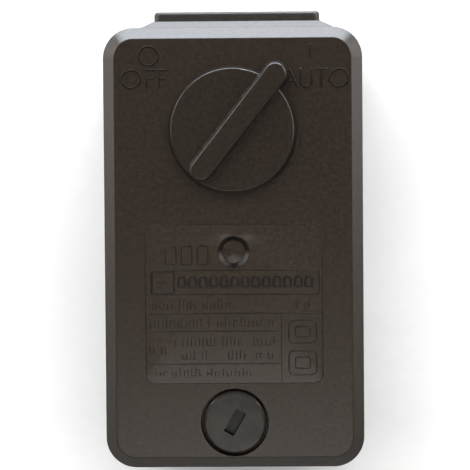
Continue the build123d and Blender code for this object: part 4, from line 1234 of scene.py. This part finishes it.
@dataclass
class Studio:
    """A pale floor, soft light from above, gloss-only windows round the sides, and the camera."""

    middle: Point
    face: float
    distance: float = 600.0
    view_width: float = 103.15
    aim: Point = (0.33, 2.93)
    lean: Point = (1.3, 2.5)
    roll: float = -0.45
    sensor: float = 36.0
    floor_half: float = 1500.0
    floor_squares: int = 12
    floor_drop: float = 0.1
    world_colour: Colour = (0.95, 0.97, 1.0)
    world_strength: float = 0.1
    lights: tuple[SoftLight, ...] = (
        SoftLight("key", 90.0, 72.0, 1200.0, (1100.0, 900.0), 29.5, gloss=False),
        SoftLight("sheen", -90.0, 62.0, 230.0, (170.0, 100.0), 0.12, (1.0, 0.99, 0.97), diffuse=False),
        SoftLight("upper_window", 90.0, 4.0, 500.0, (760.0, 240.0), 8.8, (0.86, 0.92, 1.0), diffuse=False),
        SoftLight("left_glint", 150.0, 38.0, 600.0, (110.0, 110.0), 0.8, diffuse=False),
        SoftLight("right_glint", 31.0, 38.0, 600.0, (110.0, 110.0), 0.8, diffuse=False),
        SoftLight("left_window", 158.0, 8.0, 500.0, (380.0, 200.0), 1.05, WARM, diffuse=False),
        SoftLight("right_window", 22.0, 8.0, 500.0, (380.0, 200.0), 1.05, WARM, diffuse=False),
    )

    def floor(self) -> bpy.types.Object:
        """Lays the floor: a level square of 3 m, a hair below the object's foot.

        Returns:
            The floor.
        """
        row = self.floor_squares + 1
        side = np.linspace(-self.floor_half, self.floor_half, row)
        x, y = np.meshgrid(side, side, indexing="ij")
        points = np.stack((x, y, np.full_like(x, -self.floor_drop)), axis=-1).reshape(-1, 3) * MM
        i, j = np.meshgrid(np.arange(self.floor_squares), np.arange(self.floor_squares), indexing="ij")
        first = (i * row + j).reshape(-1)
        squares = np.stack((first, first + row, first + row + 1, first + 1), axis=-1)
        mesh = bpy.data.meshes.new("floor")
        mesh.from_pydata(points.tolist(), [], squares.tolist())
        mesh.materials.append(PAPER.material())
        piece = bpy.data.objects.new("floor", mesh)
        bpy.context.scene.collection.objects.link(piece)
        return piece

    def camera(self) -> bpy.types.Object:
        """Sets the camera above the face, leaning a little to the right and to the cables' end.

        The line back from the aimed point to the camera is (tan lean_x, tan lean_y, 1) made unit
        length; the view's right is Y x back, its up back x right, both then rolled about back.

        Returns:
            The camera.
        """
        data = bpy.data.cameras.new("camera")
        data.sensor_width = self.sensor
        data.lens = self.sensor * self.distance / self.view_width
        data.clip_start = 0.01
        camera = bpy.data.objects.new("camera", data)
        back = Vector((math.tan(math.radians(self.lean[0])), math.tan(math.radians(self.lean[1])), 1.0))
        back.normalize()
        right = Vector((0.0, 1.0, 0.0)).cross(back).normalized()
        turned = Matrix((right, back.cross(right), back)).transposed()
        turned = turned @ Matrix.Rotation(math.radians(self.roll), 3, "Z")
        aimed = Vector((self.middle[0] + self.aim[0], self.middle[1] + self.aim[1], self.face))
        camera.matrix_world = Matrix.Translation((aimed + back * self.distance) * MM) @ turned.to_4x4()
        bpy.context.scene.collection.objects.link(camera)
        bpy.context.scene.camera = camera
        return camera

    def build(self) -> None:
        """Builds the floor, the pale surroundings, the lights and the camera."""
        self.floor()
        self.camera()
        world = bpy.data.worlds.new("surroundings")
        world.use_nodes = True
        background = world.node_tree.nodes["Background"]
        background.inputs["Color"].default_value = (*self.world_colour, 1.0)
        background.inputs["Strength"].default_value = self.world_strength
        bpy.context.scene.world = world
        bpy.context.scene.view_settings.view_transform = "Standard"
        target = Vector((self.middle[0], self.middle[1], self.face)) * MM
        for light in self.lights:
            light.place(target)


# ---------------------------------------------------------------- putting it together


GATE_OFFSET = -0.8
GATE_DEPTH = 1.0


def joint_axis(name: str) -> Point:
    """Where an upright joint's axis stands in the plan view, mm."""
    found = next(joint for joint in frame["joints"] if joint["name"] == name)
    place = Vector(found["pos_m"]) / MM
    return place.x, place.y


def dress_nodes() -> dict[str, bpy.types.Material]:
    """Makes every finish, and gives each CAD node the one of its material slot.

    Returns:
        The materials by name.
    """
    slots = {name: node.material_slots[0].material.name for name, node in frame["nodes"].items()}
    for packed in list(bpy.data.materials):
        bpy.data.materials.remove(packed)
    made = {finish.name: finish.material() for finish in FINISHES}
    for name, node in frame["nodes"].items():
        node.material_slots[0].material = made[slots[name]]
        log.info("%s: CAD node, finish %s", name, slots[name])
    return made


def main() -> None:
    """Builds the finishes, the new pieces and the studio round the frame."""
    logging.basicConfig(level=logging.INFO, format="%(name)s %(message)s")
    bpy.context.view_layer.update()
    finishes = dress_nodes()
    groove_shade, steel, spring = (finishes[name] for name in ("groove_shade_plastic", "threaded_steel", "spring_steel"))

    cover_low, cover_high = (Vector(corner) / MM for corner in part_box("cover"))
    middle = ((cover_low.x + cover_high.x) / 2, (cover_low.y + cover_high.y) / 2)
    gate = (middle[0], middle[1] + GATE_OFFSET)
    PositionMarks(joint_axis("knob_turn"), cover_high.z).build(groove_shade)
    RatingPanel(cover_high.z, gate).build(finishes["panel_plastic"], groove_shade)
    dish = GateMark(gate, cover_high.z - GATE_DEPTH)
    dish.build(finishes["cover_plastic"])
    dish.wall_shade(groove_shade)

    for coil in (
        CoilSpring("main_coil", "main_spring", "main_nut", turns=7.0, wire=0.95),
        CoilSpring("differential_coil", "differential_spring", "differential_nut", turns=9.0, wire=0.55),
    ):
        coil.build(spring)
    SnapBlade().build(spring)

    stud, main_axis = joint_axis("cover_screw_turn"), joint_axis("main_adjust_turn")
    fine_axis = joint_axis("differential_adjust_turn")
    threads = (
        Thread("port_thread", "housing", "cast_alloy", (0.0, 0.0), 0.4, 10.8, 5.94, 5.73, 1.3),
        Thread("stud_thread", "cover_screw", "stud_steel", stud, 38.3, 52.0, 2.05, 2.38, 0.8),
        Thread("main_thread", "main_screw", "plated_steel", main_axis, 42.3, 65.8, 2.5, 2.88, 1.0),
        Thread(
            "differential_thread", "differential_screw", "plated_steel", fine_axis, 36.3, 65.8, 1.6, 1.93, 0.7
        ),
    )
    for thread in threads:
        thread.build(finishes["cast_alloy"] if thread.slot == "cast_alloy" else steel)

    Studio(middle, cover_high.z).build()


if __name__ == "__main__":
    main()
